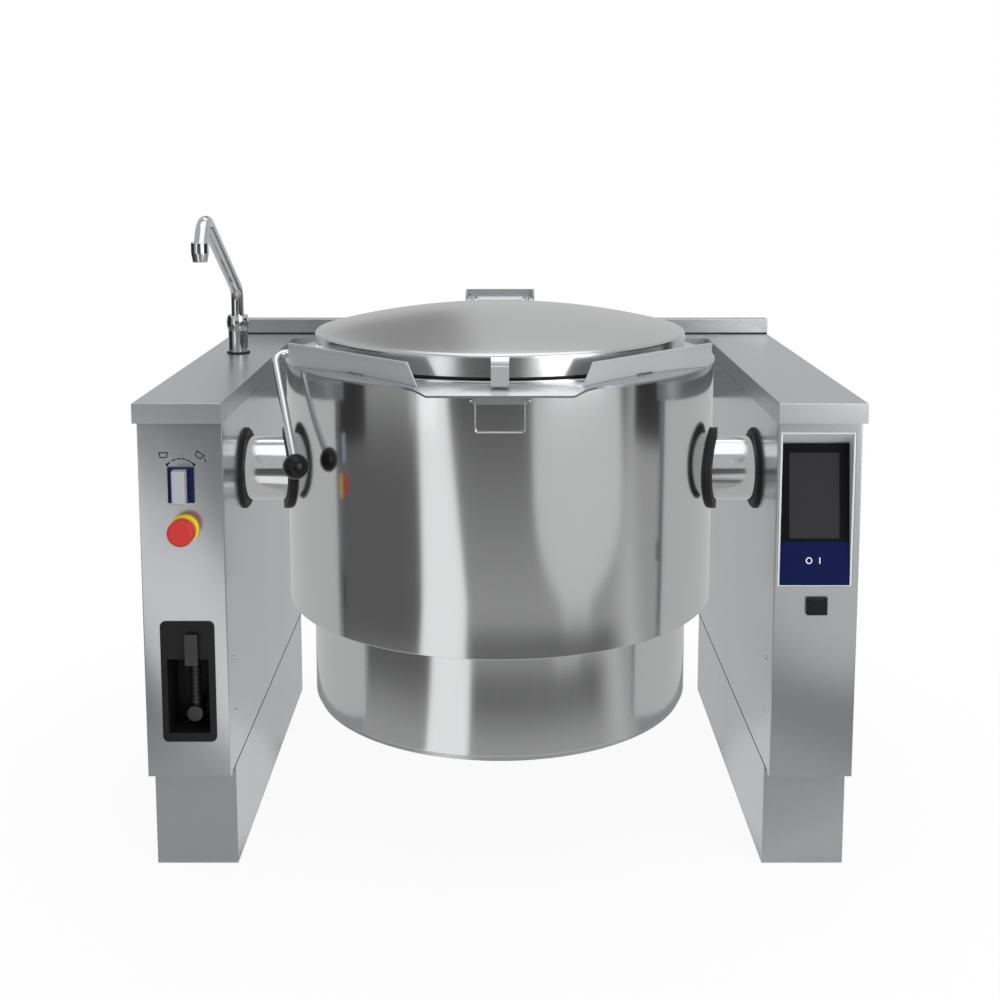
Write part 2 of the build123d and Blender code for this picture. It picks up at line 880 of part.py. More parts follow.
def trunnion(side):
    """Curved pad on the pan casing, hollow stub through the cladding, and the journal in its outer end."""
    pad_inner = pan_casing_radius + seat_gap
    stub_end = casing_inner_x + trunnion_entry - sheet
    journal_end = gear_x + gear_width if side < 0 else bearing_x + bearing_length
    with BuildPart() as piece:
        with BuildSketch(Plane.YZ.offset(side * pad_inner / 2)):
            with Locations((tilt_y, tilt_height)):
                Rectangle(pad_size, pad_size)
        extrude(amount=side * pad_inner)
        add(round_form(pad_inner + pad_thick, 0, cap_top), mode=Mode.INTERSECT)
        with BuildSketch(Plane.YZ.offset(side * pad_inner / 2)):
            with Locations((tilt_y, tilt_height)):
                Circle(trunnion_radius)
        extrude(amount=side * (stub_end - pad_inner / 2))
        with BuildSketch(Plane.YZ.offset(side * stub_end)):
            with Locations((tilt_y, tilt_height)):
                Circle(journal_radius)
        extrude(amount=side * (journal_end + journal_overhang - stub_end))
        with BuildSketch(Plane.YZ.offset(side * pad_inner / 2)):
            with Locations((tilt_y, tilt_height)):
                Circle(trunnion_radius - trunnion_wall)
        extrude(amount=side * (stub_end - trunnion_wall - pad_inner / 2), mode=Mode.SUBTRACT)
        with BuildSketch(Plane.YZ.offset(side * pad_inner)):
            with Locations((tilt_y, tilt_height)):
                Circle(journal_bore_radius)
        extrude(amount=side * (journal_end + journal_overhang - pad_inner), mode=Mode.SUBTRACT)
        add(round_form(pad_inner, 0, cap_top), mode=Mode.SUBTRACT)
    return piece


for name, side in sides.items():
    save(trunnion(side), f"{name}_trunnion")

# Rubber collars round the stubs, fitted to the cladding's curve
with BuildPart() as trunnion_collars:
    for side in sides.values():
        with BuildSketch(Plane.YZ.offset(side * cladding_radius / 2)):
            with Locations((tilt_y, tilt_height)):
                Circle(seal_radius)
                Circle(trunnion_radius + seat_gap, mode=Mode.SUBTRACT)
        extrude(amount=side * cladding_radius)
    with BuildSketch(Plane.XY.offset(cladding_bottom)):
        with Locations((-collar_length, pan_y), (collar_length, pan_y)):
            Circle(cladding_radius)
    extrude(amount=cap_top - cladding_bottom, mode=Mode.INTERSECT)
    add(round_form(cladding_radius + seat_gap, 0, cap_top), mode=Mode.SUBTRACT)
save(trunnion_collars, "trunnion_collars")

# Upright guards along both sides of the pouring deck, with a folded upper edge
with BuildPart() as side_guards:
    for side in sides.values():
        along = (side * cos(radians(guard_turn)), sin(radians(guard_turn)), 0)
        across = (sin(radians(guard_turn)), -side * cos(radians(guard_turn)), 0)
        foot = (side * guard_start_x, lip_front + guard_start_setback, 0)
        with BuildSketch(Plane(origin=foot, x_dir=along, z_dir=across)):
            with BuildLine():
                Polyline(
                    (guard_front_foot, cap_top),
                    (guard_front_run, guard_front_top),
                    (guard_rear_run, guard_rear_top),
                    (guard_rear_run, guard_rear_heel),
                    (guard_rear_foot, cap_top),
                    close=True,
                )
            make_face()
        extrude(amount=guard_sheet / 2, both=True)
        with BuildSketch(Plane(origin=foot, x_dir=along, z_dir=across)):
            with BuildLine():
                Polyline(
                    (guard_front_run, guard_front_top),
                    (guard_rear_run, guard_rear_top),
                    (guard_rear_run, guard_rear_top - guard_hem),
                    (guard_front_run, guard_front_top - guard_hem),
                    close=True,
                )
            make_face()
        extrude(amount=guard_hem / 2, both=True)
    add(under_deck(-seat_gap), mode=Mode.SUBTRACT)
    add(round_form(brim_radius + seat_gap, deck_top, brim_height + seat_gap), mode=Mode.SUBTRACT)
save(side_guards, "side_guards")

# Folded bar under the lip that holds the strainer clip's pin
clip_y = lip_front + clip_ball_radius
clip_top = deck_top - lip_drop - deck_sheet - seat_gap
clip_pin_height = clip_top - clip_pin_drop
with BuildPart() as clip_bar:
    with BuildSketch(Plane.XY.offset(clip_top)):
        with Locations((0, clip_y)):
            Rectangle(clip_width, clip_thick)
    extrude(amount=-clip_height)
    with BuildSketch(Plane.YZ.offset(-clip_width / 2)):
        with Locations((clip_y, clip_pin_height)):
            Circle(clip_pin_radius + fit_gap)
    extrude(amount=clip_width, mode=Mode.SUBTRACT)
    with BuildSketch(Plane.XY.offset(clip_pin_height + clip_pin_radius + seat_gap)):
        with Locations((-clip_wire_half, clip_y), (clip_wire_half, clip_y)):
            Rectangle(clip_slot, clip_thick)
    extrude(amount=-clip_height, mode=Mode.SUBTRACT)
save(clip_bar, "clip_bar")

# Strainer clip: a pin with ball ends and a hanging wire loop
with BuildPart() as strainer_clip:
    with BuildSketch(Plane.YZ.offset(-clip_width / 2 - clip_ball_radius)):
        with Locations((clip_y, clip_pin_height)):
            Circle(clip_pin_radius)
    extrude(amount=clip_width + 2 * clip_ball_radius)
    ball_shift = clip_width / 2 + clip_ball_radius + seat_gap
    with Locations((-ball_shift, clip_y, clip_pin_height), (ball_shift, clip_y, clip_pin_height)):
        Sphere(clip_ball_radius)
    with BuildLine(facing_front(clip_y)) as wire:
        FilletPolyline(
            (-clip_wire_half, clip_pin_height),
            (-clip_wire_half, clip_pin_height - clip_wire_drop),
            (clip_wire_half, clip_pin_height - clip_wire_drop),
            (clip_wire_half, clip_pin_height),
            radius=clip_wire_bend,
        )
    with BuildSketch(Plane(origin=wire.line @ 0, z_dir=wire.line % 0)):
        Circle(clip_wire_radius)
    sweep()
save(strainer_clip, "strainer_clip")

# Hinge of the lid
hinge_y = cap_front + hinge_setback
plate_rear = hinge_y + hinge_plate_reach + hinge_plate
cheek_front = hinge_y - hinge_cheek_reach
with BuildPart() as hinge_bracket:
    with BuildSketch(facing_front(plate_rear)):
        with BuildLine():
            Polyline(
                (-hinge_half_width - hinge_flare, cap_top),
                (hinge_half_width + hinge_flare, cap_top),
                (hinge_half_width + hinge_plate, hinge_plate_top),
                (-hinge_half_width - hinge_plate, hinge_plate_top),
                close=True,
            )
        make_face()
    extrude(amount=hinge_plate)
    for side in sides.values():
        with BuildSketch(Plane.YZ.offset(side * hinge_half_width)):
            with BuildLine():
                Polyline(
                    (cheek_front, cap_top),
                    (plate_rear, cap_top),
                    (plate_rear, hinge_plate_top),
                    (cheek_front + hinge_cheek_slope, hinge_plate_top),
                    (cheek_front, brim_height),
                    close=True,
                )
            make_face()
            with Locations((hinge_y, hinge_height)):
                Circle(hinge_pin_radius + fit_gap, mode=Mode.SUBTRACT)
        extrude(amount=side * hinge_plate)
    with BuildSketch(Plane.XY.offset(cap_top)):
        with Locations((0, (cheek_front + plate_rear) / 2)):
            Rectangle(2 * hinge_half_width, plate_rear - cheek_front)
    extrude(amount=brim_height - cap_top)
    add(under_deck(-seat_gap), mode=Mode.SUBTRACT)
save(hinge_bracket, "hinge_bracket")

# Pin of the lid's hinge
with BuildPart() as hinge_pin:
    pin_half = hinge_half_width + hinge_plate + spring_inset
    with BuildSketch(Plane.YZ.offset(-pin_half)):
        with Locations((hinge_y, hinge_height)):
            Circle(hinge_pin_radius)
    extrude(amount=2 * pin_half)
save(hinge_pin, "hinge_pin")

# Torsion springs that balance the lid, one in each gap beside the hinge's barrel
with BuildPart() as hinge_springs:
    coil_radius = hinge_pin_radius + 2 * spring_wire_radius
    coil_length = spring_turns * spring_pitch
    for side in sides.values():
        coil_start = side * (hinge_half_width - spring_inset - spring_wire_radius - seat_gap)
        with BuildLine() as coil:
            Helix(
                pitch=spring_pitch,
                height=coil_length,
                radius=coil_radius,
                center=(coil_start, hinge_y, hinge_height),
                direction=(-side, 0, 0),
            )
        with BuildSketch(Plane(origin=coil.line @ 0, z_dir=coil.line % 0)):
            Circle(spring_wire_radius)
        sweep(path=coil.line)
save(hinge_springs, "hinge_springs")


# Lid

def dome_form(inset):
    """Round block under a spherical dome, with its outer surfaces moved in by inset."""
    rise = lid_top - lid_rim_height
    dome_radius = (lid_radius ** 2 + rise ** 2) / 2 / rise
    with BuildPart() as form:
        add(round_form(lid_radius - inset, lid_skirt_bottom - inset, lid_top))
        with Locations((0, pan_y, lid_top - dome_radius)):
            Sphere(dome_radius - inset, mode=Mode.INTERSECT)
        rim = form.edges().filter_by(lambda edge: edge.is_closed).sort_by(Axis.Z)[-1]
        fillet(rim, lid_edge_radius - inset / 2)
    return form.part


# Shallow domed lid with a straight skirt
with BuildPart() as lid_shell:
    add(dome_form(0))
    add(dome_form(sheet), mode=Mode.SUBTRACT)
save(lid_shell, "lid_shell")

# Rubber seal under the skirt
with BuildPart() as lid_seal:
    add(round_form(lid_radius + lid_seal_proud, brim_height + lid_seal_gap, lid_skirt_bottom))
    seal_inner = lid_radius + lid_seal_proud - lid_seal_width
    add(round_form(seal_inner, brim_height, lid_skirt_bottom), mode=Mode.SUBTRACT)
save(lid_seal, "lid_seal")

# Bent tab that covers the gap over the pouring lip
lid_front = pan_y - lid_radius
with BuildPart() as lid_tab:
    with BuildSketch(Plane.YZ.offset(-tab_width / 2)):
        with BuildLine():
            tab_line = Polyline(
                (lid_front + tab_bend_reach, tab_root_height),
                (lid_front, tab_root_height),
                (lid_front - tab_bend_reach, tab_bend_height),
                (lid_front - tab_end_reach, tab_end_height),
            )
            offset(tab_line, amount=tab_thick / 2)
        make_face()
    extrude(amount=tab_width)
    add(round_form(lid_radius, lid_skirt_bottom, lid_top), mode=Mode.SUBTRACT)
save(lid_tab, "lid_tab")

# Leaf that joins the lid's skirt to the hinge pin
with BuildPart() as hinge_leaf:
    with BuildSketch(Plane.YZ.offset(-hinge_leaf_half)):
        leaf_top = lid_rim_height - hinge_leaf_sheet / 2
        leaf_front = pan_y + lid_radius - hinge_leaf_sheet
        leaf_back = leaf_front + 2 * hinge_leaf_sheet
        with BuildLine():
            Polyline(
                (leaf_front, leaf_top),
                (hinge_y, leaf_top),
                (hinge_y, leaf_top - hinge_leaf_sheet),
                (leaf_back, leaf_top - hinge_leaf_sheet),
                (leaf_back, leaf_top - hinge_leaf_drop),
                (leaf_front, leaf_top - hinge_leaf_drop),
                close=True,
            )
        make_face()
        with Locations((hinge_y, hinge_height)):
            Circle(hinge_barrel_radius)
            Circle(hinge_pin_radius + fit_gap, mode=Mode.SUBTRACT)
    extrude(amount=2 * hinge_leaf_half)
    add(round_form(lid_radius, lid_skirt_bottom, lid_top), mode=Mode.SUBTRACT)
save(hinge_leaf, "hinge_leaf")

# Bent rod of the lid's lever, welded to the skirt through a small pad
lever_root = Vector(-lever_root_x, cap_front + lever_root_setback, lever_height)
lever_corner = Vector(-lever_corner_x, cap_front + lever_corner_setback, lever_height)
ball_centre = Vector(-ball_x, cap_front + ball_setback, ball_height)
with BuildPart() as lid_lever:
    with BuildLine() as rod:
        FilletPolyline(lever_root, lever_corner, ball_centre, radius=lever_bend)
    with BuildSketch(Plane(origin=rod.line @ 0, z_dir=rod.line % 0)):
        Circle(lever_rod_radius)
    sweep(path=rod.line)
    with BuildSketch(Plane(origin=rod.line @ 0, z_dir=rod.line % 0)):
        Circle(lever_pad_radius)
    extrude(amount=2 * lever_pad_thick)
    add(round_form(lid_radius, lid_skirt_bottom, lid_top), mode=Mode.SUBTRACT)
    add(round_form(cladding_radius, cladding_bottom, lid_skirt_bottom), mode=Mode.SUBTRACT)
save(lid_lever, "lid_lever")

# Ball at the lever's end
with BuildPart() as lever_ball:
    with Locations(ball_centre):
        Sphere(ball_radius)
    with BuildSketch(Plane(origin=ball_centre, z_dir=lever_corner - ball_centre)):
        Circle(lever_rod_radius + fit_gap)
    extrude(amount=ball_radius, mode=Mode.SUBTRACT)
save(lever_ball, "lever_ball")

# Tap
tap_y = cap_front + tap_setback
tap_base_top = cap_top + tap_base_height
with BuildPart() as tap_base:
    with BuildSketch(Plane.XY.offset(cap_top)):
        with Locations((-tap_x, tap_y)):
            Circle(tap_base_radius)
    extrude(amount=tap_base_height)
    with BuildSketch(Plane.XY.offset(cap_top)):
        with Locations((-tap_x, tap_y)):
            Circle(tap_shank_radius)
    extrude(amount=-tap_shank_length)
    with BuildSketch(Plane.XY.offset(tap_base_top)):
        with Locations((-tap_x, tap_y)):
            Circle(tap_tube_radius + fit_gap)
    extrude(amount=-tap_socket_depth, mode=Mode.SUBTRACT)
save(tap_base, "tap_base")

# Union nut round the spout
with BuildPart() as tap_nut:
    with BuildSketch(Plane.XY.offset(tap_base_top)):
        with Locations((-tap_x, tap_y)):
            Circle(tap_nut_radius)
    extrude(amount=tap_nut_height)
    chamfer(tap_nut.edges(), edge_radius)
    with BuildSketch(Plane.XY.offset(tap_base_top)):
        with Locations((-tap_x, tap_y)):
            Circle(tap_tube_radius + fit_gap)
    extrude(amount=tap_nut_height, mode=Mode.SUBTRACT)
save(tap_nut, "tap_nut")

# Swivelling spout, a bent tube
spout_plane = Plane(origin=(-tap_x, cap_front, 0), x_dir=(0, 1, 0), z_dir=(1, 0, 0))
with BuildPart() as tap_spout:
    with BuildLine(spout_plane) as spout_path:
        FilletPolyline(
            (tap_setback, tap_base_top - tap_socket_depth),
            (tap_setback, tap_elbow_height),
            (tap_peak_setback, tap_peak_height),
            (tap_mouth_setback, tap_mouth_height),
            radius=tap_bend_radius,
        )
    with BuildSketch(Plane.XY.offset(tap_base_top - tap_socket_depth)):
        with Locations((-tap_x, tap_y)):
            Circle(tap_tube_radius)
            Circle(tap_tube_radius - tap_tube_wall, mode=Mode.SUBTRACT)
    sweep(path=spout_path.line)
save(tap_spout, "tap_spout")

# Nozzle on the spout's mouth
with BuildPart() as tap_nozzle:
    with BuildSketch(Plane(origin=spout_path.line @ 1, z_dir=spout_path.line % 1)):
        Circle(tap_nozzle_radius)
        Circle(tap_tube_radius + fit_gap, mode=Mode.SUBTRACT)
    extrude(amount=tap_nozzle_length / 2, both=True)
save(tap_nozzle, "tap_nozzle")

# Water pipe with its valve, from the rear of the left plinth up to the tap's shank
with BuildPart() as water_valve:
    pipe_plane = Plane(origin=(-tap_x, 0, 0), x_dir=(0, 1, 0), z_dir=(1, 0, 0))
    with BuildLine(pipe_plane) as pipe_path:
        FilletPolyline(
            (tap_y, cap_top - tap_shank_length),
            (tap_y, water_pipe_height),
            (casing_rear, water_pipe_height),
            radius=water_pipe_bend,
        )
    with BuildSketch(Plane.XY.offset(cap_top - tap_shank_length)):
        with Locations((-tap_x, tap_y)):
            Circle(water_pipe_radius)
    sweep(path=pipe_path.line)
    with BuildSketch(Plane.XY.offset(water_valve_height)):
        with Locations((-tap_x, tap_y)):
            RectangleRounded(water_valve_size, water_valve_size, edge_radius)
    extrude(amount=water_valve_size)
save(water_valve, "water_valve")

# Tilt switch: chamfered base on the panel with its contact block behind
with BuildPart() as switch_base:
    with BuildSketch(facing_front(panel_front)):
        with Locations((-control_x, switch_height)):
            Rectangle(switch_base_width, switch_base_height)
    extrude(amount=switch_base_thick)
    chamfer(switch_base.faces().sort_by(Axis.Y)[0].edges(), switch_base_chamfer)
    with BuildSketch(facing_front(panel_front)):
        with Locations((-control_x, switch_height)):
            Circle(control_hole_radius - bolt_gap)
    extrude(amount=-switch_body_depth / 2)
    with BuildSketch(facing_front(panel_front + sheet + bolt_gap)):
        with Locations((-control_x, switch_height)):
            Rectangle(switch_body_size, switch_body_size)
    extrude(amount=-switch_body_depth)
    with BuildSketch(facing_front(panel_front - switch_base_thick)):
        with Locations((-control_x, switch_height)):
            Circle(switch_spindle_radius + fit_gap)
    extrude(amount=-switch_body_depth / 2, mode=Mode.SUBTRACT)
save(switch_base, "switch_base")

# Turning grip of the tilt switch
with BuildPart() as switch_knob:
    grip_back = panel_front - switch_base_thick - seat_gap
    with BuildSketch(facing_front(grip_back)):
        with Locations((-control_x, switch_height)):
            Rectangle(switch_grip_width, switch_grip_length)
    extrude(amount=switch_grip_reach)
    chamfer(switch_knob.faces().sort_by(Axis.Y)[0].edges(), switch_grip_chamfer)
    with BuildSketch(facing_front(grip_back)):
        with Locations((-control_x, switch_height)):
            Circle(switch_spindle_radius)
    extrude(amount=-switch_body_depth / 3)
save(switch_knob, "switch_knob")

# Yellow collar of the stop button with its contact block
with BuildPart() as stop_collar:
    with BuildSketch(facing_front(panel_front)):
        with Locations((-stop_x, stop_height)):
            Circle(stop_collar_radius)
    extrude(amount=stop_collar_thick)
    chamfer(stop_collar.faces().sort_by(Axis.Y)[0].edges(), edge_radius)
    with BuildSketch(facing_front(panel_front)):
        with Locations((-stop_x, stop_height)):
            Circle(control_hole_radius - bolt_gap)
    extrude(amount=-switch_body_depth)
    with BuildSketch(facing_front(panel_front - stop_collar_thick)):
        with Locations((-stop_x, stop_height)):
            Circle(stop_stem_radius + fit_gap)
    extrude(amount=-switch_body_depth, mode=Mode.SUBTRACT)
save(stop_collar, "stop_collar")

# Red mushroom head of the stop button
with BuildPart() as stop_button:
    head_back = panel_front - stop_collar_thick - 2 * stop_travel
    with BuildSketch(facing_front(head_back)):
        with Locations((-stop_x, stop_height)):
            Circle(stop_head_radius)
    extrude(amount=stop_head_thick)
    fillet(stop_button.faces().sort_by(Axis.Y)[0].edges(), stop_head_round)
    with BuildSketch(facing_front(head_back)):
        with Locations((-stop_x, stop_height)):
            Circle(stop_stem_radius)
    extrude(amount=-stop_stem_length)
save(stop_button, "stop_button")

# Plate and recess of the spray gun, with the tube that guides its hose and carries its head
niche_low = niche_height - niche_low_shift
with BuildPart() as niche_frame:
    with BuildSketch(facing_front(panel_front)):
        with Locations((-niche_x, niche_height)):
            RectangleRounded(niche_plate_width, niche_plate_height, niche_corner)
    extrude(amount=niche_plate_thick)
    fillet(niche_frame.faces().sort_by(Axis.Y)[0].edges(), edge_radius)
    with BuildSketch(facing_front(panel_front)):
        with Locations((-niche_x, niche_low)):
            Rectangle(niche_width - bolt_gap, niche_tall - bolt_gap)
    extrude(amount=-niche_depth)
    with BuildSketch(facing_front(panel_front - niche_plate_thick)):
        with Locations((-niche_x, niche_low)):
            Rectangle(niche_width - 2 * sheet, niche_tall - 2 * sheet)
    extrude(amount=-niche_depth, mode=Mode.SUBTRACT)
    guide_length = niche_depth - sheet - gun_sink - gun_head_length / 2 + gun_guide_overlap
    with BuildSketch(facing_front(panel_front + niche_depth - sheet)):
        with Locations((-gun_x, gun_head_height)):
            Circle(gun_guide_radius)
            Circle(gun_guide_radius - sheet, mode=Mode.SUBTRACT)
    extrude(amount=guide_length)
save(niche_frame, "niche_frame")

# Spray gun: round head, ribbed grip and the fork of its trigger
gun_y = panel_front + gun_sink
pivot_y = gun_y - trigger_pivot_reach
with BuildPart() as spray_gun:
    with BuildSketch(facing_front(gun_y)):
        with Locations((-gun_x, gun_head_height)):
            Circle(gun_head_radius)
    extrude(amount=gun_head_length / 2, both=True)
    fillet(spray_gun.edges().filter_by(GeomType.CIRCLE), edge_radius)
    with BuildSketch(Plane.XY.offset(gun_head_height)):
        with Locations((-gun_x, gun_y)):
            Circle(gun_core_radius)
    extrude(amount=gun_top - gun_head_height)
    for rib in range(gun_rib_count):
        with BuildSketch(Plane.XY.offset(gun_rib_first + rib * gun_rib_pitch)):
            with Locations((-gun_x, gun_y)):
                Circle(gun_rib_radius)
        extrude(amount=gun_rib_thick)
    fork_inner = trigger_barrel_width / 2 + seat_gap
    for side in sides.values():
        with BuildSketch(Plane.YZ.offset(-gun_x + side * fork_inner)):
            with Locations(((pivot_y + gun_y) / 2, trigger_pivot_height)):
                SlotOverall(trigger_pivot_reach + 2 * trigger_barrel_radius, 2 * trigger_barrel_radius)
        extrude(amount=side * trigger_cheek)
    with BuildSketch(Plane.YZ.offset(-gun_x - fork_inner)):
        with Locations((pivot_y, trigger_pivot_height)):
            Circle(trigger_pin_radius)
    extrude(amount=2 * fork_inner)
    with BuildSketch(facing_front(gun_y + gun_head_length / 2)):
        with Locations((-gun_x, gun_head_height)):
            Circle(gun_guide_radius + fit_gap)
    extrude(amount=gun_guide_overlap + fit_gap, mode=Mode.SUBTRACT)
save(spray_gun, "spray_gun")

# Trigger of the spray gun: a tongue in front of the niche's plate
with BuildPart() as spray_trigger:
    tongue_back = panel_front - niche_plate_thick - trigger_plate_gap
    tongue_front = tongue_back - trigger_thick
    arm = trigger_barrel_radius
    with BuildSketch(Plane.YZ.offset(-gun_x - trigger_width / 2)):
        with BuildLine():
            Polyline(
                (tongue_back, trigger_top),
                (tongue_front, trigger_top),
                (tongue_front, trigger_pivot_height - arm),
                (pivot_y, trigger_pivot_height - arm),
                (pivot_y, trigger_pivot_height + arm),
                (tongue_back, trigger_pivot_height + arm),
                close=True,
            )
        make_face()
    extrude(amount=trigger_width)
    fillet(spray_trigger.faces().sort_by(Axis.Z)[-1].edges().filter_by(Axis.Y), edge_radius)
    with BuildSketch(facing_front(pivot_y - arm)):
        with Locations((-gun_x, trigger_pivot_height)):
            Rectangle(trigger_width, 4 * trigger_barrel_width)
    extrude(amount=-2 * arm, mode=Mode.SUBTRACT)
    with BuildSketch(Plane.YZ.offset(-gun_x - trigger_barrel_width / 2)):
        with Locations((pivot_y, trigger_pivot_height)):
            Circle(arm)
        with Locations((pivot_y - arm, trigger_pivot_height)):
            Rectangle(2 * arm, 2 * arm)
    extrude(amount=trigger_barrel_width)
    with BuildSketch(Plane.YZ.offset(-gun_x - trigger_barrel_width / 2)):
        with Locations((pivot_y, trigger_pivot_height)):
            Circle(trigger_pin_radius + fit_gap)
    extrude(amount=trigger_barrel_width, mode=Mode.SUBTRACT)
save(spray_trigger, "spray_trigger")

# Recessed housing of the display, open to the front and closed by a ceiling above the leaning glass
glass_foot = display_bottom + sheet
glass_head = glass_foot + display_glass_height
glass_back = display_glass_thick + seat_gap
housing_half = display_width / 2 - bolt_gap
with BuildPart() as display_housing:
    with BuildSketch(Plane.YZ.offset(display_x - housing_half)):
        with BuildLine():
            Polyline(
                (panel_front, display_bottom + bolt_gap),
                (panel_front + glass_back + sheet, display_bottom + bolt_gap),
                (panel_front + display_lean + glass_back + sheet, glass_head + sheet),
                (panel_front + sheet, display_top - bolt_gap),
                (panel_front, display_top - bolt_gap),
                close=True,
            )
        make_face()
    extrude(amount=2 * housing_half)
    with BuildSketch(Plane.YZ.offset(display_x - housing_half + display_side)):
        with BuildLine():
            Polyline(
                (panel_front - sheet, glass_foot),
                (panel_front + glass_back, glass_foot),
                (panel_front + display_lean + glass_back, glass_head),
                (panel_front, display_top - bolt_gap - sheet),
                (panel_front - sheet, display_top - bolt_gap - sheet),
                close=True,
            )
        make_face()
    extrude(amount=2 * housing_half - 2 * display_side, mode=Mode.SUBTRACT)
save(display_housing, "display_housing")

# Leaning glass of the display
with BuildPart() as display_glass:
    with BuildSketch(Plane.YZ.offset(display_x - housing_half + display_side + seat_gap)):
        with BuildLine():
            Polyline(
                (panel_front, glass_foot + seat_gap),
                (panel_front + display_glass_thick, glass_foot + seat_gap),
                (panel_front + display_lean + display_glass_thick, glass_head - seat_gap),
                (panel_front + display_lean, glass_head - seat_gap),
                close=True,
            )
        make_face()
    extrude(amount=2 * (housing_half - display_side - seat_gap))
save(display_glass, "display_glass")

# Data socket behind its cover, with the lugs and the pin that the cover turns on
port_hinge_z = port_height + port_tall / 2 - port_barrel_radius
port_face = panel_front - port_plate_thick
port_hinge_y = port_face - port_barrel_radius - seat_gap
port_barrel_half = port_width / 2 - port_lug - seat_gap
with BuildPart() as port_socket:
    with BuildSketch(facing_front(panel_front)):
        with Locations((port_x, port_height)):
            Rectangle(port_socket_width - bolt_gap, port_socket_tall - bolt_gap)
            hole_width = port_socket_width - bolt_gap - 2 * port_socket_wall
            hole_tall = port_socket_tall - bolt_gap - 2 * port_socket_wall
            Rectangle(hole_width, hole_tall, mode=Mode.SUBTRACT)
    extrude(amount=-port_socket_depth)
    with BuildSketch(facing_front(panel_front)):
        with Locations((port_x, port_height)):
            RectangleRounded(port_width, port_tall, edge_radius)
            Rectangle(hole_width, hole_tall, mode=Mode.SUBTRACT)
    extrude(amount=port_plate_thick)
    for side in sides.values():
        with BuildSketch(Plane.YZ.offset(port_x + side * (port_width / 2 - port_lug))):
            with Locations((port_hinge_y, port_hinge_z)):
                Circle(port_barrel_radius)
            with Locations(((port_hinge_y + port_face) / 2, port_hinge_z)):
                Rectangle(port_face - port_hinge_y, 2 * port_barrel_radius)
        extrude(amount=side * port_lug)
    with BuildSketch(Plane.YZ.offset(port_x - port_width / 2 + port_lug)):
        with Locations((port_hinge_y, port_hinge_z)):
            Circle(port_pin_radius)
    extrude(amount=port_width - 2 * port_lug)
save(port_socket, "port_socket")

# Cover that hangs over the data socket
with BuildPart() as port_cover:
    cover_tall = port_tall - 2 * port_barrel_radius - seat_gap
    with BuildSketch(facing_front(port_face - seat_gap)):
        with Locations((port_x, port_height - port_barrel_radius)):
            RectangleRounded(port_width, cover_tall, edge_radius)
    extrude(amount=port_cover_thick)
    with BuildSketch(Plane.YZ.offset(port_x - port_barrel_half)):
        with Locations((port_hinge_y, port_hinge_z)):
            Circle(port_barrel_radius)
        with Locations((port_hinge_y, port_hinge_z - port_barrel_radius)):
            Rectangle(2 * port_barrel_radius, 2 * port_barrel_radius)
    extrude(amount=2 * port_barrel_half)
    with BuildSketch(Plane.YZ.offset(port_x - port_barrel_half)):
        with Locations((port_hinge_y, port_hinge_z)):
            Circle(port_pin_radius + fit_gap)
    extrude(amount=2 * port_barrel_half, mode=Mode.SUBTRACT)
save(port_cover, "port_cover")

# Sealed control box standing in the right column
with BuildPart() as control_box:
    with BuildSketch(Plane.XY.offset(box_bottom)):
        with Locations((box_x, cap_front + box_front_gap + box_depth / 2)):
            RectangleRounded(box_width, box_depth, edge_radius)
    extrude(amount=box_height)
    with BuildSketch(Plane.XY.offset(plinth_floor + frame_sheet)):
        with Locations((box_x, cap_front + box_front_gap + box_depth / 2)):
            Rectangle(box_width / 2, box_depth / 2)
    extrude(amount=box_bottom)
save(control_box, "control_box")

# Contactors on a rail that is screwed to the right side frame
with BuildPart() as contactor_row:
    row_pitch = contactor_width + contactor_gap
    with BuildSketch(Plane.YZ.offset(bearing_x)):
        with Locations((pan_y + contactor_count * row_pitch / 2, contactor_level)):
            Rectangle(contactor_count * row_pitch, rail_height)
    extrude(amount=rail_thick)
    with BuildSketch(Plane.YZ.offset(bearing_x + rail_thick)):
        with Locations((pan_y + contactor_count * row_pitch / 2, contactor_level)):
            with GridLocations(row_pitch, 1, contactor_count, 1):
                Rectangle(contactor_width, contactor_height)
    extrude(amount=contactor_depth)
save(contactor_row, "contactor_row")

# Gland for the supply cable in the right plinth's rear wall
with BuildPart() as cable_gland:
    with BuildSketch(facing_front(plinth_rear + gland_reach)):
        with Locations((column_x, gland_height)):
            Circle(gland_radius)
    extrude(amount=2 * gland_reach)
    with BuildSketch(facing_front(plinth_rear + gland_nut_thick)):
        with Locations((column_x, gland_height)):
            RegularPolygon(gland_nut_radius, 6)
    extrude(amount=gland_nut_thick)
    with BuildSketch(facing_front(plinth_rear + gland_reach)):
        with Locations((column_x, gland_height)):
            Circle(gland_bore_radius)
    extrude(amount=2 * gland_reach, mode=Mode.SUBTRACT)
save(cable_gland, "cable_gland")
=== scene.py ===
"""Finish, small parts, studio and camera of the tilting boiling pan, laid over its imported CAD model.

Everything is in metres in the frame of the CAD model: +X to the right, +Y to the rear, +Z up, the origin on
the floor in the middle of the width and of the whole depth.
"""
import math

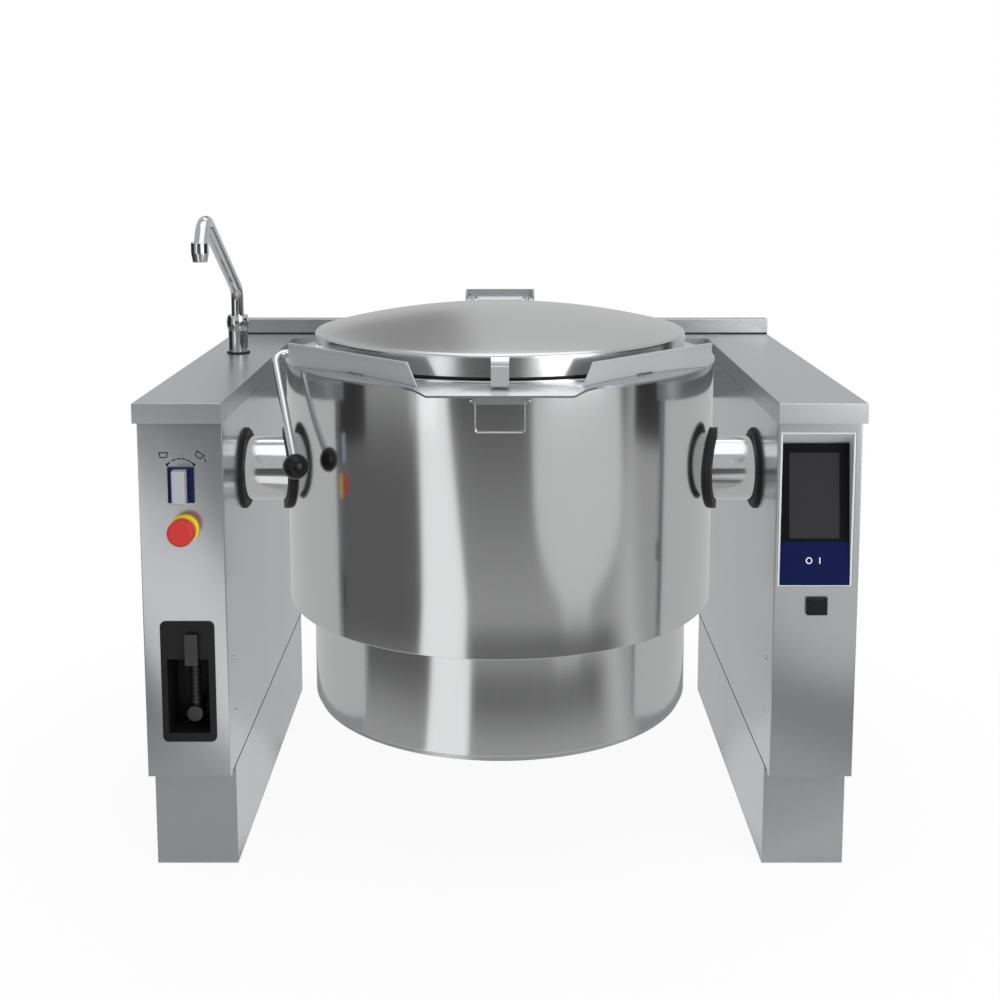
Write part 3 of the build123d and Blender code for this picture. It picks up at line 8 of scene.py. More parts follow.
import bmesh
import bpy
import numpy as np
from bpy.props import FloatProperty, FloatVectorProperty, IntProperty, PointerProperty
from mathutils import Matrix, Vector


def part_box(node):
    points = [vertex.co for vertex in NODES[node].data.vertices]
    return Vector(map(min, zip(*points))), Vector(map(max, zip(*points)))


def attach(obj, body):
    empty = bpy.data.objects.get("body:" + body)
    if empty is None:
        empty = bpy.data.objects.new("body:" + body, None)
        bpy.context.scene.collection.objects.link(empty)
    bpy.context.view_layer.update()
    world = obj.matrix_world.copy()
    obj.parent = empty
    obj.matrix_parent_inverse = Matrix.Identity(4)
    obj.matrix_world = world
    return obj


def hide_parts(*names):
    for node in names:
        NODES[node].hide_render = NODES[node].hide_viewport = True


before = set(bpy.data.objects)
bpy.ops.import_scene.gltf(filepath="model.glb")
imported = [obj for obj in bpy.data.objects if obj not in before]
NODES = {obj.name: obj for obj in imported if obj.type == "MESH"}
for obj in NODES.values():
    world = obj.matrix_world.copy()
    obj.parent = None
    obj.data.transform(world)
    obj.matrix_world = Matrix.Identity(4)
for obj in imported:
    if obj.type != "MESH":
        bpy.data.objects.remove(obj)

bl_info = {
    "name": "Tilting boiling pan",
    "version": (1, 0, 0),
    "blender": (4, 5, 0),
    "location": "View3D > Sidebar > Boiling pan",
    "description": "Builds the looks of a tilting boiling pan round its CAD model",
    "category": "Add Mesh",
}


def low(node):
    """Lowest corner of a CAD node as numpy numbers."""
    return np.array(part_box(node)[0])


def high(node):
    """Highest corner of a CAD node as numpy numbers."""
    return np.array(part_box(node)[1])


def middle(node):
    """Centre of a CAD node's box as numpy numbers."""
    return (low(node) + high(node)) / 2


def span(node, axis):
    """Lowest and highest coordinate of a CAD node along axis 0, 1 or 2."""
    return float(low(node)[axis]), float(high(node)[axis])


def round_radius(node):
    """Radius of a CAD node that is round about an upright axis."""
    left, right = span(node, 0)
    return (right - left) / 2


CLADDING_RADIUS = round_radius("cladding")
CASING_RADIUS = round_radius("pan_casing")
BRIM_RADIUS = round_radius("vessel")
LID_RADIUS = round_radius("lid_shell")
PAN_Y = float(middle("vessel")[1])
PANEL_Y = float(low("left_front_panel")[1])
TILT_Y, TILT_Z = (float(value) for value in middle("shaft_seals")[1:])


# Sizes and colours that a user would change

class BoilingPanSizes(bpy.types.PropertyGroup):
    """Sizes of the pieces that are made here"""

    sheet: FloatProperty(
        name="Sheet", description="Thickness of the cladding, casing and lid sheets", default=0.002,
        unit="LENGTH")
    fold_radius: FloatProperty(
        name="Fold radius", description="Radius of the rounded edges of the round shells", default=0.002,
        unit="LENGTH")
    lid_edge_radius: FloatProperty(
        name="Lid edge radius", description="Radius between the lid's dome and its skirt", default=0.006,
        unit="LENGTH")
    lid_rim_drop: FloatProperty(
        name="Lid rim drop", description="Height from the top of the dome down to its rim", default=0.036,
        unit="LENGTH")
    lip_run: FloatProperty(
        name="Lip run", description="Depth of the sloping lip behind its straight front edge", default=0.03,
        unit="LENGTH")
    lip_drop: FloatProperty(
        name="Lip drop", description="How far the lip's front edge lies below the deck", default=0.011,
        unit="LENGTH")
    deck_sheet: FloatProperty(
        name="Deck sheet", description="Thickness of the pouring deck", default=0.003, unit="LENGTH")
    deck_fall: FloatProperty(
        name="Deck fall", description="Fall of the deck from the brim to the cladding", default=0.004,
        unit="LENGTH")
    sweep_radius: FloatProperty(
        name="Sweep radius", description="Radius about the tilt axis that the pan stays within",
        default=0.452, unit="LENGTH")
    vessel_radius: FloatProperty(
        name="Vessel radius", description="Inner radius of the vessel", default=0.255, unit="LENGTH")
    vessel_wall: FloatProperty(
        name="Vessel wall", description="Wall of the vessel", default=0.003, unit="LENGTH")
    dish_depth: FloatProperty(
        name="Dish depth", description="Depth of the vessel's rounded bottom", default=0.08, unit="LENGTH")
    mark_thickness: FloatProperty(
        name="Mark thickness", description="How far the printed marks stand proud", default=0.0002,
        unit="LENGTH")
    mark_line: FloatProperty(
        name="Mark line", description="Line width of the printed marks", default=0.0018, unit="LENGTH")
    screw_radius: FloatProperty(
        name="Screw radius", description="Radius of the casing screws' heads", default=0.0045, unit="LENGTH")
    round_steps: IntProperty(
        name="Round steps", description="Faces round the large shells", default=256, min=32, max=512)


class BoilingPanColours(bpy.types.PropertyGroup):
    """Colours of the finishes"""

    satin: FloatVectorProperty(
        name="Satin steel", description="Brushed stainless steel of the columns", subtype="COLOR",
        default=(0.485, 0.495, 0.51), min=0, max=1)
    polished: FloatVectorProperty(
        name="Polished steel", description="Polished stainless steel of the pan", subtype="COLOR",
        default=(0.62, 0.625, 0.63), min=0, max=1)
    chrome: FloatVectorProperty(
        name="Chrome", description="Plated tap and lever", subtype="COLOR", default=(0.60, 0.605, 0.615),
        min=0, max=1)
    rubber: FloatVectorProperty(
        name="Rubber", description="Seals and rings", subtype="COLOR", default=(0.012, 0.012, 0.013),
        min=0, max=1)
    black: FloatVectorProperty(
        name="Black plastic", description="Ball, niche and spray gun", subtype="COLOR",
        default=(0.008, 0.008, 0.009), min=0, max=1)
    navy: FloatVectorProperty(
        name="Navy", description="Base of the tilt switch and foot of the display", subtype="COLOR",
        default=(0.007, 0.012, 0.06), min=0, max=1)
    silver: FloatVectorProperty(
        name="Silver", description="Grip of the tilt switch", subtype="COLOR", default=(0.42, 0.43, 0.46),
        min=0, max=1)
    red: FloatVectorProperty(
        name="Stop red", description="Head of the stop button", subtype="COLOR", default=(0.56, 0.035, 0.032),
        min=0, max=1)
    yellow: FloatVectorProperty(
        name="Stop yellow", description="Collar of the stop button", subtype="COLOR",
        default=(0.86, 0.66, 0.01), min=0, max=1)
    screen: FloatVectorProperty(
        name="Screen", description="Dark screen behind the glass", subtype="COLOR",
        default=(0.035, 0.035, 0.037), min=0, max=1)


# Surfaces

def rounded(points, radii, steps=6):
    """Path through corner points with each inner corner rounded. The arc of radius r starts r * tan(a / 2)
    before the corner, where a is the turn there, and its points are spread evenly over the turn."""
    points = np.asarray(points, float)
    radii = np.broadcast_to(radii, len(points))
    path = [points[:1]]
    for before, corner, after, radius in zip(points[:-2], points[1:-1], points[2:], radii[1:-1]):
        into = (corner - before) / np.linalg.norm(corner - before)
        out = (after - corner) / np.linalg.norm(after - corner)
        turn = math.acos(float(np.clip(into @ out, -1, 1)))
        if radius <= 0 or turn < 0.01:
            path.append(corner[None])
            continue
        start = corner - into * radius * math.tan(turn / 2)
        normal = (out - into * (into @ out)) / math.sin(turn)
        angle = np.linspace(0, turn, steps + 1)[:, None]
        path.append(start + radius * (np.sin(angle) * into + (1 - np.cos(angle)) * normal))
    path.append(points[-1:])
    return np.concatenate(path)


def closed_rounded(points, radii, steps=6):
    """A closed outline with rounded corners: the path starts and ends half-way along its last side."""
    points = np.asarray(points, float)
    radii = np.broadcast_to(radii, len(points))
    gate = (points[0] + points[-1]) / 2
    path = rounded([gate, *points, gate], [0, *radii, 0], steps)
    return path[:-1]


def grid_faces(rows, columns, close_rows, close_columns):
    """Quads between neighbouring rows and columns of a grid, wrapped round where the grid closes."""
    row = np.arange(rows if close_rows else rows - 1)
    column = np.arange(columns if close_columns else columns - 1)
    a = (row[:, None] * columns + column[None]).ravel()
    b = (row[:, None] * columns + (column[None] + 1) % columns).ravel()
    c = (((row[:, None] + 1) % rows) * columns + (column[None] + 1) % columns).ravel()
    d = (((row[:, None] + 1) % rows) * columns + column[None]).ravel()
    return np.stack([a, b, c, d], 1)


def turn_outwards(mesh):
    """Merges doubles and turns the faces outwards, by the sign of each closed part."""
    work = bmesh.new()
    work.from_mesh(mesh)
    bmesh.ops.remove_doubles(work, verts=work.verts, dist=1e-7)
    bmesh.ops.recalc_face_normals(work, faces=work.faces)
    work.to_mesh(mesh)
    work.free()


def placed(name, data):
    """A new object with this data, linked into the scene."""
    piece = bpy.data.objects.new(name, data)
    bpy.context.scene.collection.objects.link(piece)
    return piece


def solid(name, body, pieces, finish, sharp=35):
    """One object from grids. Each piece is (points, closed): its columns run round, and its rows close too,
    or each end gets a cap, a fan from the middle of its row. Edges over sharp degrees stay sharp."""
    verts, faces, count = [], [], 0
    for points, closed in pieces:
        rows, columns = points.shape[:2]
        flat = points.reshape(-1, 3)
        verts.append(flat)
        faces += (grid_faces(rows, columns, closed, True) + count).tolist()
        total = rows * columns
        for first, flip in () if closed else ((0, True), (total - columns, False)):
            ring = count + first + np.arange(columns)
            following = np.roll(ring, -1)
            hub = np.full(columns, count + total)
            verts.append(flat[first:first + columns].mean(0)[None])
            faces += np.stack((following, ring, hub) if flip else (ring, following, hub), 1).tolist()
            total += 1
        count += total
    mesh = bpy.data.meshes.new(name)
    mesh.from_pydata(np.concatenate(verts).tolist(), [], faces)
    mesh.validate()
    piece = placed(name, mesh)
    turn_outwards(mesh)
    mesh.shade_smooth()
    mesh.set_sharp_from_angle(angle=math.radians(sharp))
    dress(piece, FINISH[finish])
    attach(piece, body)
    return piece


def revolved(profile, steps, centre, axis="Z"):
    """Grid of a profile (radius, height) turned about an axis through centre: radius times the cosine and
    sine of the angle across the axis, and height along it."""
    angle = np.linspace(0, 2 * math.pi, steps, endpoint=False)
    radius, along = np.asarray(profile, float).T
    across = radius[:, None] * np.cos(angle)
    over = radius[:, None] * np.sin(angle)
    height = np.broadcast_to(along[:, None], across.shape)
    order = {"Z": (across, over, height), "X": (height, across, over), "Y": (over, height, across)}[axis]
    return np.stack(order, 2) + np.asarray(centre)


def lathe(profile, steps, centre, axis="Z"):
    """A revolved outline as a piece for solid(). A closed one makes a ring, and one whose ends lie on the
    axis gets flat caps at the points next to them."""
    profile = np.asarray(profile, float)
    ring = bool(profile[[0, -1], 0].any())
    return revolved(profile if ring else profile[1:-1], steps, centre, axis), ring


def bar(start, end, outline):
    """Straight level bar: a closed flat outline, square to the line from start to end, at both its ends."""
    start, end = np.asarray(start, float), np.asarray(end, float)
    along = (end - start) / np.linalg.norm(end - start)
    side = np.cross(along, (0.0, 0.0, 1.0))
    section = outline[:, :1] * side + outline[:, 1:] * np.cross(along, side)
    return np.stack([start + section, end + section]), False


def circle(radius, steps):
    """Points of a circle as an outline."""
    angle = np.linspace(0, 2 * math.pi, steps, endpoint=False)
    return np.stack([radius * np.cos(angle), radius * np.sin(angle)], 1)


def upright(points, y):
    """Points (x, z) of an upright face, set at depth y."""
    return np.insert(points, 1, y, axis=1)


def plate(outline, y, thickness):
    """Upright flat plate facing the front: the outline (x, z) at depth y, and again one thickness nearer."""
    outline = np.asarray(outline, float)
    return np.stack([upright(outline, y), upright(outline, y - thickness)]), False


def ribbon(path, width, y, thickness):
    """Flat line of even width on an upright face: the path (x, z) set off by half the width to both sides."""
    along = np.gradient(path, axis=0)
    along /= np.linalg.norm(along, axis=1)[:, None]
    across = np.stack([-along[:, 1], along[:, 0]], 1) * width / 2
    front = y - thickness
    corners = [upright(path + side * across, depth)
               for side, depth in ((1, y), (-1, y), (-1, front), (1, front))]
    return np.stack(corners, 1), False


# Materials

def feed(tree, node, inputs):
    """Gives a node's inputs, by name or place, fixed values or links from other nodes' outputs."""
    for socket, value in dict(inputs).items():
        if isinstance(value, bpy.types.NodeSocket):
            tree.links.new(value, node.inputs[socket])
        else:
            node.inputs[socket].default_value = value


def new_material(name, colour, metallic, roughness):
    """A new material, its node tree and its Principled shader."""
    material = bpy.data.materials.new(name)
    material.use_nodes = True
    tree = material.node_tree
    shader = tree.nodes["Principled BSDF"]
    feed(tree, shader, {"Base Color": (*colour, 1), "Metallic": metallic, "Roughness": roughness})
    material.diffuse_color = (*colour, 1)
    return material, tree, shader


def shader_node(tree, kind, inputs=(), **settings):
    """A new shader node with its settings and inputs."""
    node = tree.nodes.new("ShaderNode" + kind)
    for setting, value in settings.items():
        setattr(node, setting, value)
    feed(tree, node, inputs)
    return node


def worked_out(tree, operation, *values):
    """Output of a Math node."""
    return shader_node(tree, "Math", enumerate(values), operation=operation).outputs["Value"]


def mixed(tree, factor, first, second):
    """Colour that goes from the first to the second as factor goes from 0 to 1."""
    return shader_node(tree, "Mix", {0: factor, 6: first, 7: second}, data_type="RGBA").outputs[2]


def mixed_shader(tree, *inputs):
    """Shader that goes from the second input to the third as the first goes from 0 to 1."""
    return shader_node(tree, "MixShader", enumerate(inputs)).outputs["Shader"]


def object_noise(tree, scale, detail):
    """Noise on the object's own coordinates, stretched by a different scale along each axis."""
    place = shader_node(tree, "TexCoord").outputs["Object"]
    stretched = shader_node(tree, "Mapping", {"Vector": place, "Scale": scale}).outputs["Vector"]
    return shader_node(
        tree, "TexNoise", {"Vector": stretched, "Scale": 1.0, "Detail": detail}).outputs["Fac"]


NOISE_LOW, NOISE_HIGH = 0.3, 0.7  # nearly all values of a noise lie between these


def spread(tree, noise, least, most):
    """Maps the usual range of a noise to other values."""
    inputs = {"Value": noise, "From Min": NOISE_LOW, "From Max": NOISE_HIGH, "To Min": least, "To Max": most}
    return shader_node(tree, "MapRange", inputs).outputs["Result"]


def tinted(tree, colour, noise, amount):
    """The colour, darkened and lightened by a share of amount as the noise goes from 0 to 1."""
    dark, pale = ([min(1.0, channel * share) for channel in colour] for share in (1 - amount, 1 + amount))
    return mixed(tree, noise, (*dark, 1), (*pale, 1))


def bumped(tree, noise, strength, distance):
    """Normal with the bump of a noise."""
    inputs = {"Height": noise, "Strength": strength, "Distance": distance}
    return shader_node(tree, "Bump", inputs).outputs["Normal"]


def brushed_steel(name, colour, roughness, grain, amount, metallic=1.0):
    """Stainless steel with fine brushing: thin noise lines along the grain change the roughness, the colour
    and the bump, and broad faint clouds change the roughness a little more."""
    material, tree, shader = new_material(name, colour, metallic, roughness)
    along, across, cloud = 9, 1500, 5
    lines = object_noise(tree, [along if axis == grain else across for axis in "XYZ"], 2.0)
    clouds = object_noise(tree, (cloud, cloud, cloud), 3.0)
    gloss = worked_out(tree, "ADD", spread(tree, lines, roughness * 0.92, roughness * 1.08),
                       spread(tree, clouds, -0.02, 0.02))
    feed(tree, shader, {"Roughness": gloss, "Base Color": tinted(tree, colour, lines, amount),
                        "Normal": bumped(tree, lines, 0.004, 0.0001)})
    return material


def plain_metal(name, colour, roughness, amount=0.05):
    """Machined, cast or plated metal: small even noise changes its colour and roughness."""
    material, tree, shader = new_material(name, colour, 1.0, roughness)
    noise = object_noise(tree, (180, 180, 180), 4.0)
    feed(tree, shader, {"Roughness": spread(tree, noise, roughness * 0.8, roughness * 1.25),
                        "Base Color": tinted(tree, colour, noise, amount)})
    return material


def moulded(name, colour, roughness, grain_scale, depth, amount=0.12, specular=0.25):
    """Rubber, plastic or paint: fine grain in the bump, and a slight change of colour and gloss."""
    material, tree, shader = new_material(name, colour, 0.0, roughness)
    noise = object_noise(tree, (grain_scale,) * 3, 4.0)
    feed(tree, shader, {"Roughness": spread(tree, noise, roughness * 0.9, roughness * 1.1),
                        "Base Color": tinted(tree, colour, noise, amount),
                        "Normal": bumped(tree, noise, 0.25, depth), "Specular IOR Level": specular})
    return material


def wool(name, colour):
    """Mineral wool: long crossed fibres in the colour and the bump."""
    material, tree, shader = new_material(name, colour, 0.0, 0.95)
    noise = object_noise(tree, (60, 60, 420), 6.0)
    feed(tree, shader, {"Base Color": tinted(tree, colour, noise, 0.3),
                        "Normal": bumped(tree, noise, 0.6, 0.002)})
    return material


# Parts of the display, as shares of the glass's width or height
SCREEN_SIDE, SCREEN_FOOT, SCREEN_HEAD, NAVY_TOP = 0.145, 0.33, 0.065, 0.305


def display_panel(name, colours, glass_low, glass_high):
    """Black glass with a dark grey screen and a navy foot, both masked by the object's own x and z."""
    material, tree, shader = new_material(name, colours.black, 0.0, 0.08)
    place = shader_node(tree, "TexCoord").outputs["Object"]
    split = shader_node(tree, "SeparateXYZ", {"Vector": place}).outputs

    def between(axis, least, most):
        """1 where the coordinate lies between the two values, else 0."""
        return worked_out(tree, "MULTIPLY", worked_out(tree, "GREATER_THAN", split[axis], least),
                          worked_out(tree, "LESS_THAN", split[axis], most))

    wide, _, tall = glass_high - glass_low
    left, _, foot = glass_low
    right, _, top = glass_high
    screen = worked_out(
        tree, "MULTIPLY", between("X", left + wide * SCREEN_SIDE, right - wide * SCREEN_SIDE),
        between("Z", foot + tall * SCREEN_FOOT, top - tall * SCREEN_HEAD))
    shade = mixed(tree, screen, (*colours.black, 1), (*colours.screen, 1))
    navy_foot = between("Z", foot - tall, foot + tall * NAVY_TOP)
    shade = mixed(tree, navy_foot, shade, (*colours.navy, 1))
    feed(tree, shader, {"Base Color": shade, "Specular IOR Level": 0.03})
    return material


def dress(piece, material):
    """Gives a piece one material."""
    piece.data.materials.clear()
    piece.data.materials.append(material)


# Each row: material name, colour or the name of a user's colour, roughness, and what each table names
BRUSHED = {  # grain axis, change of colour, metallic
    "satin_upright": ("satin steel, upright grain", "satin", 0.20, "Z", 0.01, 0.85),
    "satin_level": ("satin steel, level grain", "satin", 0.27, "X", 0.01, 0.85),
    "satin_deep": ("satin steel, grain to the rear", "satin", 0.30, "Y", 0.01, 0.85),
    "satin_fine": ("satin steel, fine grain", "polished", 0.40, "Y", 0.004, 0.45),
    "satin_pale": ("pale satin steel", (0.72, 0.73, 0.74), 0.38, "Z", 0.01, 0.3),
    "polished": ("polished steel", "polished", 0.13, "Z", 0.03),
    "lid": ("satin steel, lid", "polished", 0.22, "X", 0.03),
}
PLAIN = {  # change of colour
    "bright": ("bright steel", "polished", 0.10),
    "chrome": ("chrome", "chrome", 0.05, 0.02),
    "frame": ("plain steel", (0.40, 0.40, 0.41), 0.42),
    "gear": ("gear steel", (0.24, 0.24, 0.25), 0.38),
    "bronze": ("bronze", (0.62, 0.40, 0.18), 0.32),
}
MOULDED = {  # scale and depth of the grain, change of colour, specular level
    "housing": ("cast housing paint", (0.09, 0.10, 0.11), 0.5, 300, 0.0006),
    "motor": ("motor paint", (0.05, 0.09, 0.15), 0.42, 300, 0.0005),
    "rubber": ("black rubber", "rubber", 0.55, 900, 0.0003),
    "black": ("black plastic", "black", 0.42, 1400, 0.0002),
    "gloss_black": ("gloss black", "black", 0.2, 1400, 0.00005, 0.12, 0.2),
    "gun_black": ("spray gun black", "black", 0.28, 1400, 0.00005, 0.12, 0.6),
    "navy": ("navy plastic", "navy", 0.22, 1200, 0.00005, 0.12, 0.12),
    "silver": ("silver plastic", "silver", 0.3, 1200, 0.00005),
    "red": ("stop red", "red", 0.32, 1200, 0.00005, 0.05),
    "yellow": ("stop yellow", "yellow", 0.35, 1200, 0.00005, 0.05),
    "grey": ("grey plastic", (0.35, 0.36, 0.37), 0.5, 700, 0.0003),
    "white": ("printed white", (0.82, 0.83, 0.84), 0.5, 900, 0.00002, 0.03),
    "ink": ("printed black", (0.01, 0.01, 0.011), 0.5, 900, 0.00002),
}
FINISH = {}


def make_finishes():
    """Makes every material once, from the tables and the scene's colours."""
    colours = bpy.context.scene.boiling_pan_colours
    for maker, rows in ((brushed_steel, BRUSHED), (plain_metal, PLAIN), (moulded, MOULDED)):
        for finish, (name, colour, *rest) in rows.items():
            colour = getattr(colours, colour) if isinstance(colour, str) else colour
            FINISH[finish] = maker(name, colour, *rest)
    FINISH["wool"] = wool("mineral wool", (0.55, 0.47, 0.26))
    FINISH["display"] = display_panel("display glass", colours, low("display_glass"), high("display_glass"))


CAD_FINISH = {
    "satin_upright": ["left_casing", "right_casing", "left_front_panel", "right_front_panel", "left_plinth",
                      "right_plinth"],
    "satin_pale": ["display_housing"],
    "satin_fine": ["side_guards"],
    "satin_level": ["cross_beam", "upstand", "pan_deck", "clip_bar", "hinge_bracket", "hinge_leaf",
                    "base_cover"],
    "satin_deep": ["left_cap", "right_cap"],
    "bright": ["left_trunnion", "right_trunnion", "lid_tab", "hinge_pin", "hinge_springs", "strainer_clip",
               "lid_lever"],
    "chrome": ["tap_base", "tap_nut", "tap_spout", "tap_nozzle"],
    "frame": ["left_frame", "right_frame", "jacket"],
    "gear": ["tilt_sector", "drive_pinion", "heating_elements"],
    "bronze": ["bearing_bushes", "water_valve"],
    "housing": ["bearing_housings"],
    "motor": ["gearmotor"],
    "rubber": ["shaft_seals", "trunnion_collars", "cable_gland"],
    "black": ["niche_frame", "port_socket"],
    "gloss_black": ["lever_ball", "port_cover"],
    "gun_black": ["spray_gun", "spray_trigger"],
    "navy": ["switch_base"],
    "silver": ["switch_knob"],
    "yellow": ["stop_collar"],
    "red": ["stop_button"],
    "grey": ["control_box", "contactor_row"],
    "wool": ["insulation"],
    "display": ["display_glass"],
    "polished": ["cladding", "pan_casing", "vessel"],
    "lid": ["lid_shell"],
}
SMOOTH_LIMIT = 30  # degrees between two faces above which their edge is sharp


def smoothing_group():
    """Node group that merges a CAD node's loose triangles, shades them smooth, and keeps every edge sharp
    whose faces meet at more than the limit."""
    group = bpy.data.node_groups.new("CAD smoothing", "GeometryNodeTree")
    for way in ("INPUT", "OUTPUT"):
        group.interface.new_socket("Geometry", in_out=way, socket_type="NodeSocketGeometry")
    entry, leave, merge, smooth, sharp, angle, wide = (group.nodes.new(kind) for kind in (
        "NodeGroupInput", "NodeGroupOutput", "GeometryNodeMergeByDistance", "GeometryNodeSetShadeSmooth",
        "GeometryNodeSetShadeSmooth", "GeometryNodeInputMeshEdgeAngle", "FunctionNodeCompare"))
    sharp.domain = "EDGE"
    wide.data_type = "FLOAT"
    wide.operation = "GREATER_THAN"
    feed(group, merge, {"Geometry": entry.outputs[0], "Distance": 1e-6})
    feed(group, smooth, {"Geometry": merge.outputs["Geometry"]})
    feed(group, wide, {0: angle.outputs["Unsigned Angle"], 1: math.radians(SMOOTH_LIMIT)})
    feed(group, sharp, {"Geometry": smooth.outputs["Geometry"], "Selection": wide.outputs["Result"],
                        "Shade Smooth": False})
    feed(group, leave, {0: sharp.outputs["Geometry"]})
    return group


class BOILINGPAN_OT_finishes(bpy.types.Operator):
    """Gives every CAD node its material and smooth shading"""

    bl_idname = "boilingpan.finishes"
    bl_label = "Finishes"

    def execute(self, context):
        make_finishes()
        group = smoothing_group()
        for finish, nodes in CAD_FINISH.items():
            for node in nodes:
                dress(NODES[node], FINISH[finish])
                modifier = NODES[node].modifiers.new("Smoothing", "NODES")
                modifier.node_group = group
        return {"FINISHED"}


def tuck_under_deck(points, sizes):
    """Keeps a grid a tenth of a sheet below the deck's lower face. That face is level within the brim, falls
    evenly outside it, and never rises above the plane from the bend line down to the lip's front edge."""
    bend, top = float(low("pan_deck")[1]) + sizes.lip_run, float(high("pan_deck")[2])
    outside = np.hypot(points[..., 0], points[..., 1] - PAN_Y) - BRIM_RADIUS
    cone = top - sizes.deck_fall / (CLADDING_RADIUS - BRIM_RADIUS) * np.maximum(outside, 0)
    slope = top - sizes.lip_drop / sizes.lip_run * np.maximum(bend - points[..., 1], 0)
    roof = np.minimum(cone, slope) - sizes.deck_sheet - sizes.sheet / 10
    points[..., 2] = np.minimum(points[..., 2], roof)


class BOILINGPAN_OT_cladding(bpy.types.Operator):
    """Round outer cladding of the pan, trimmed to the underside of the pouring deck"""

    bl_idname = "boilingpan.cladding"
    bl_label = "Cladding"

    def execute(self, context):
        sizes = context.scene.boiling_pan_sizes
        bottom, top = span("cladding", 2)
        radius, sheet = CLADDING_RADIUS, sizes.sheet
        inner = CASING_RADIUS + sheet / 4
        outline = [
            (inner, bottom), (radius, bottom), (radius, top), (radius - sheet, top),
            (radius - sheet, bottom + sheet), (inner, bottom + sheet),
        ]
        profile = closed_rounded(outline, [0, sizes.fold_radius, 0, 0, 0, 0])
        points, closed = lathe(profile, sizes.round_steps, (0, PAN_Y, 0))
        tuck_under_deck(points, sizes)
        piece = solid("cladding_shell", "pan", [(points, closed)], "polished")
        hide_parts("cladding")
        return {"FINISHED"}


class BOILINGPAN_OT_casing(bpy.types.Operator):
    """Lower casing of the pan, whose rear lower edge follows the sweep about the tilt axis. The floor's rings
    are stretched so that one of them runs along the straight line where the sweep leaves the floor"""

    bl_idname = "boilingpan.casing"
    bl_label = "Lower casing"

    def execute(self, context):
        sizes = context.scene.boiling_pan_sizes
        bottom, top = span("pan_casing", 2)
        radius, sheet, fold = CASING_RADIUS, sizes.sheet, sizes.fold_radius
        reach, limit = sizes.sweep_radius, radius - fold * 2
        line = TILT_Y + math.sqrt(reach ** 2 - (TILT_Z - bottom) ** 2) - PAN_Y
        floor = np.concatenate([np.linspace(0, line, 16), np.linspace(line, limit, 9)[1:]])
        walls = np.linspace(bottom + fold * 2, bottom + radius / 2, 24)
        corner = rounded([(0, bottom), (radius, bottom), (radius, top)], [0, fold, 0])
        outer = np.concatenate([
            np.stack([floor, np.full(len(floor), bottom)], 1), corner[1:-1],
            np.stack([np.full(len(walls), radius), walls], 1), corner[-1:],
        ])
        inner = outer[::-1].copy()
        inner[:, 0] = np.maximum(inner[:, 0] - sheet, 0)
        inner[:, 1] = np.maximum(inner[:, 1], bottom + sheet)
        grids = [revolved(part, sizes.round_steps, (0, PAN_Y, 0)) for part in (outer[1:], inner[:-1])]
        least = 0.1
        # behind: share of a point's radius that leads to the rear. The ring at line moves out to knee, where
        # that share of the radius is line, and the rings within and beyond it are spaced anew.
        for points, inset in zip(grids, (0, sheet)):
            behind = np.sin(np.arctan2(points[..., 1] - PAN_Y, points[..., 0]))
            spot = np.hypot(points[..., 0], points[..., 1] - PAN_Y)
            knee = np.clip(line / np.maximum(behind, least), line, limit - fold)
            moved = np.where(spot < line, spot * knee / line,
                             knee + (spot - line) * (limit - knee) / (limit - line))
            scale = np.where(spot < limit, moved / np.maximum(spot, fold), 1.0)
            points[..., 0] *= scale
            points[..., 1] = PAN_Y + (points[..., 1] - PAN_Y) * scale
            across = points[..., 1] - TILT_Y
            arc = TILT_Z - np.sqrt(np.maximum((reach - inset) ** 2 - across ** 2, 0))
            points[..., 2] = np.maximum(points[..., 2], arc)
        points = np.concatenate(grids)
        tuck_under_deck(points, sizes)
        piece = solid("casing_shell", "pan", [(points, False)], "polished")
        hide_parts("pan_casing")
        return {"FINISHED"}


class BOILINGPAN_OT_vessel(bpy.types.Operator):
    """Cooking vessel: straight wall, flat brim and an elliptical bottom"""

    bl_idname = "boilingpan.vessel"
    bl_label = "Vessel"

    def execute(self, context):
        sizes = context.scene.boiling_pan_sizes
        bottom, top = span("vessel", 2)
        inner, wall, dish, sheet = sizes.vessel_radius, sizes.vessel_wall, sizes.dish_depth, sizes.sheet
        knuckle = bottom + wall + dish
        # Quarter ellipse of the bottom: radius times the sine, and depth times the cosine, of a turn
        turn = np.linspace(0, math.pi / 2, 33)
        inside = np.stack([inner * np.sin(turn), knuckle - dish * np.cos(turn)], 1)
        outside = np.stack([(inner + wall) * np.sin(turn), knuckle - (dish + wall) * np.cos(turn)], 1)
        brim = rounded(
            [inside[-1], (inner, top), (BRIM_RADIUS, top), (BRIM_RADIUS, top - sheet),
             (inner + wall, top - sheet), outside[-1]], [0, 2 * wall, sheet / 2, 0, wall, 0])
        profile = np.concatenate([inside, brim[1:-1], outside[::-1]])
        grid = lathe(profile, sizes.round_steps, (0, PAN_Y, 0))
        piece = solid("vessel_shell", "pan", [grid], "polished")
        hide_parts("vessel")
        return {"FINISHED"}


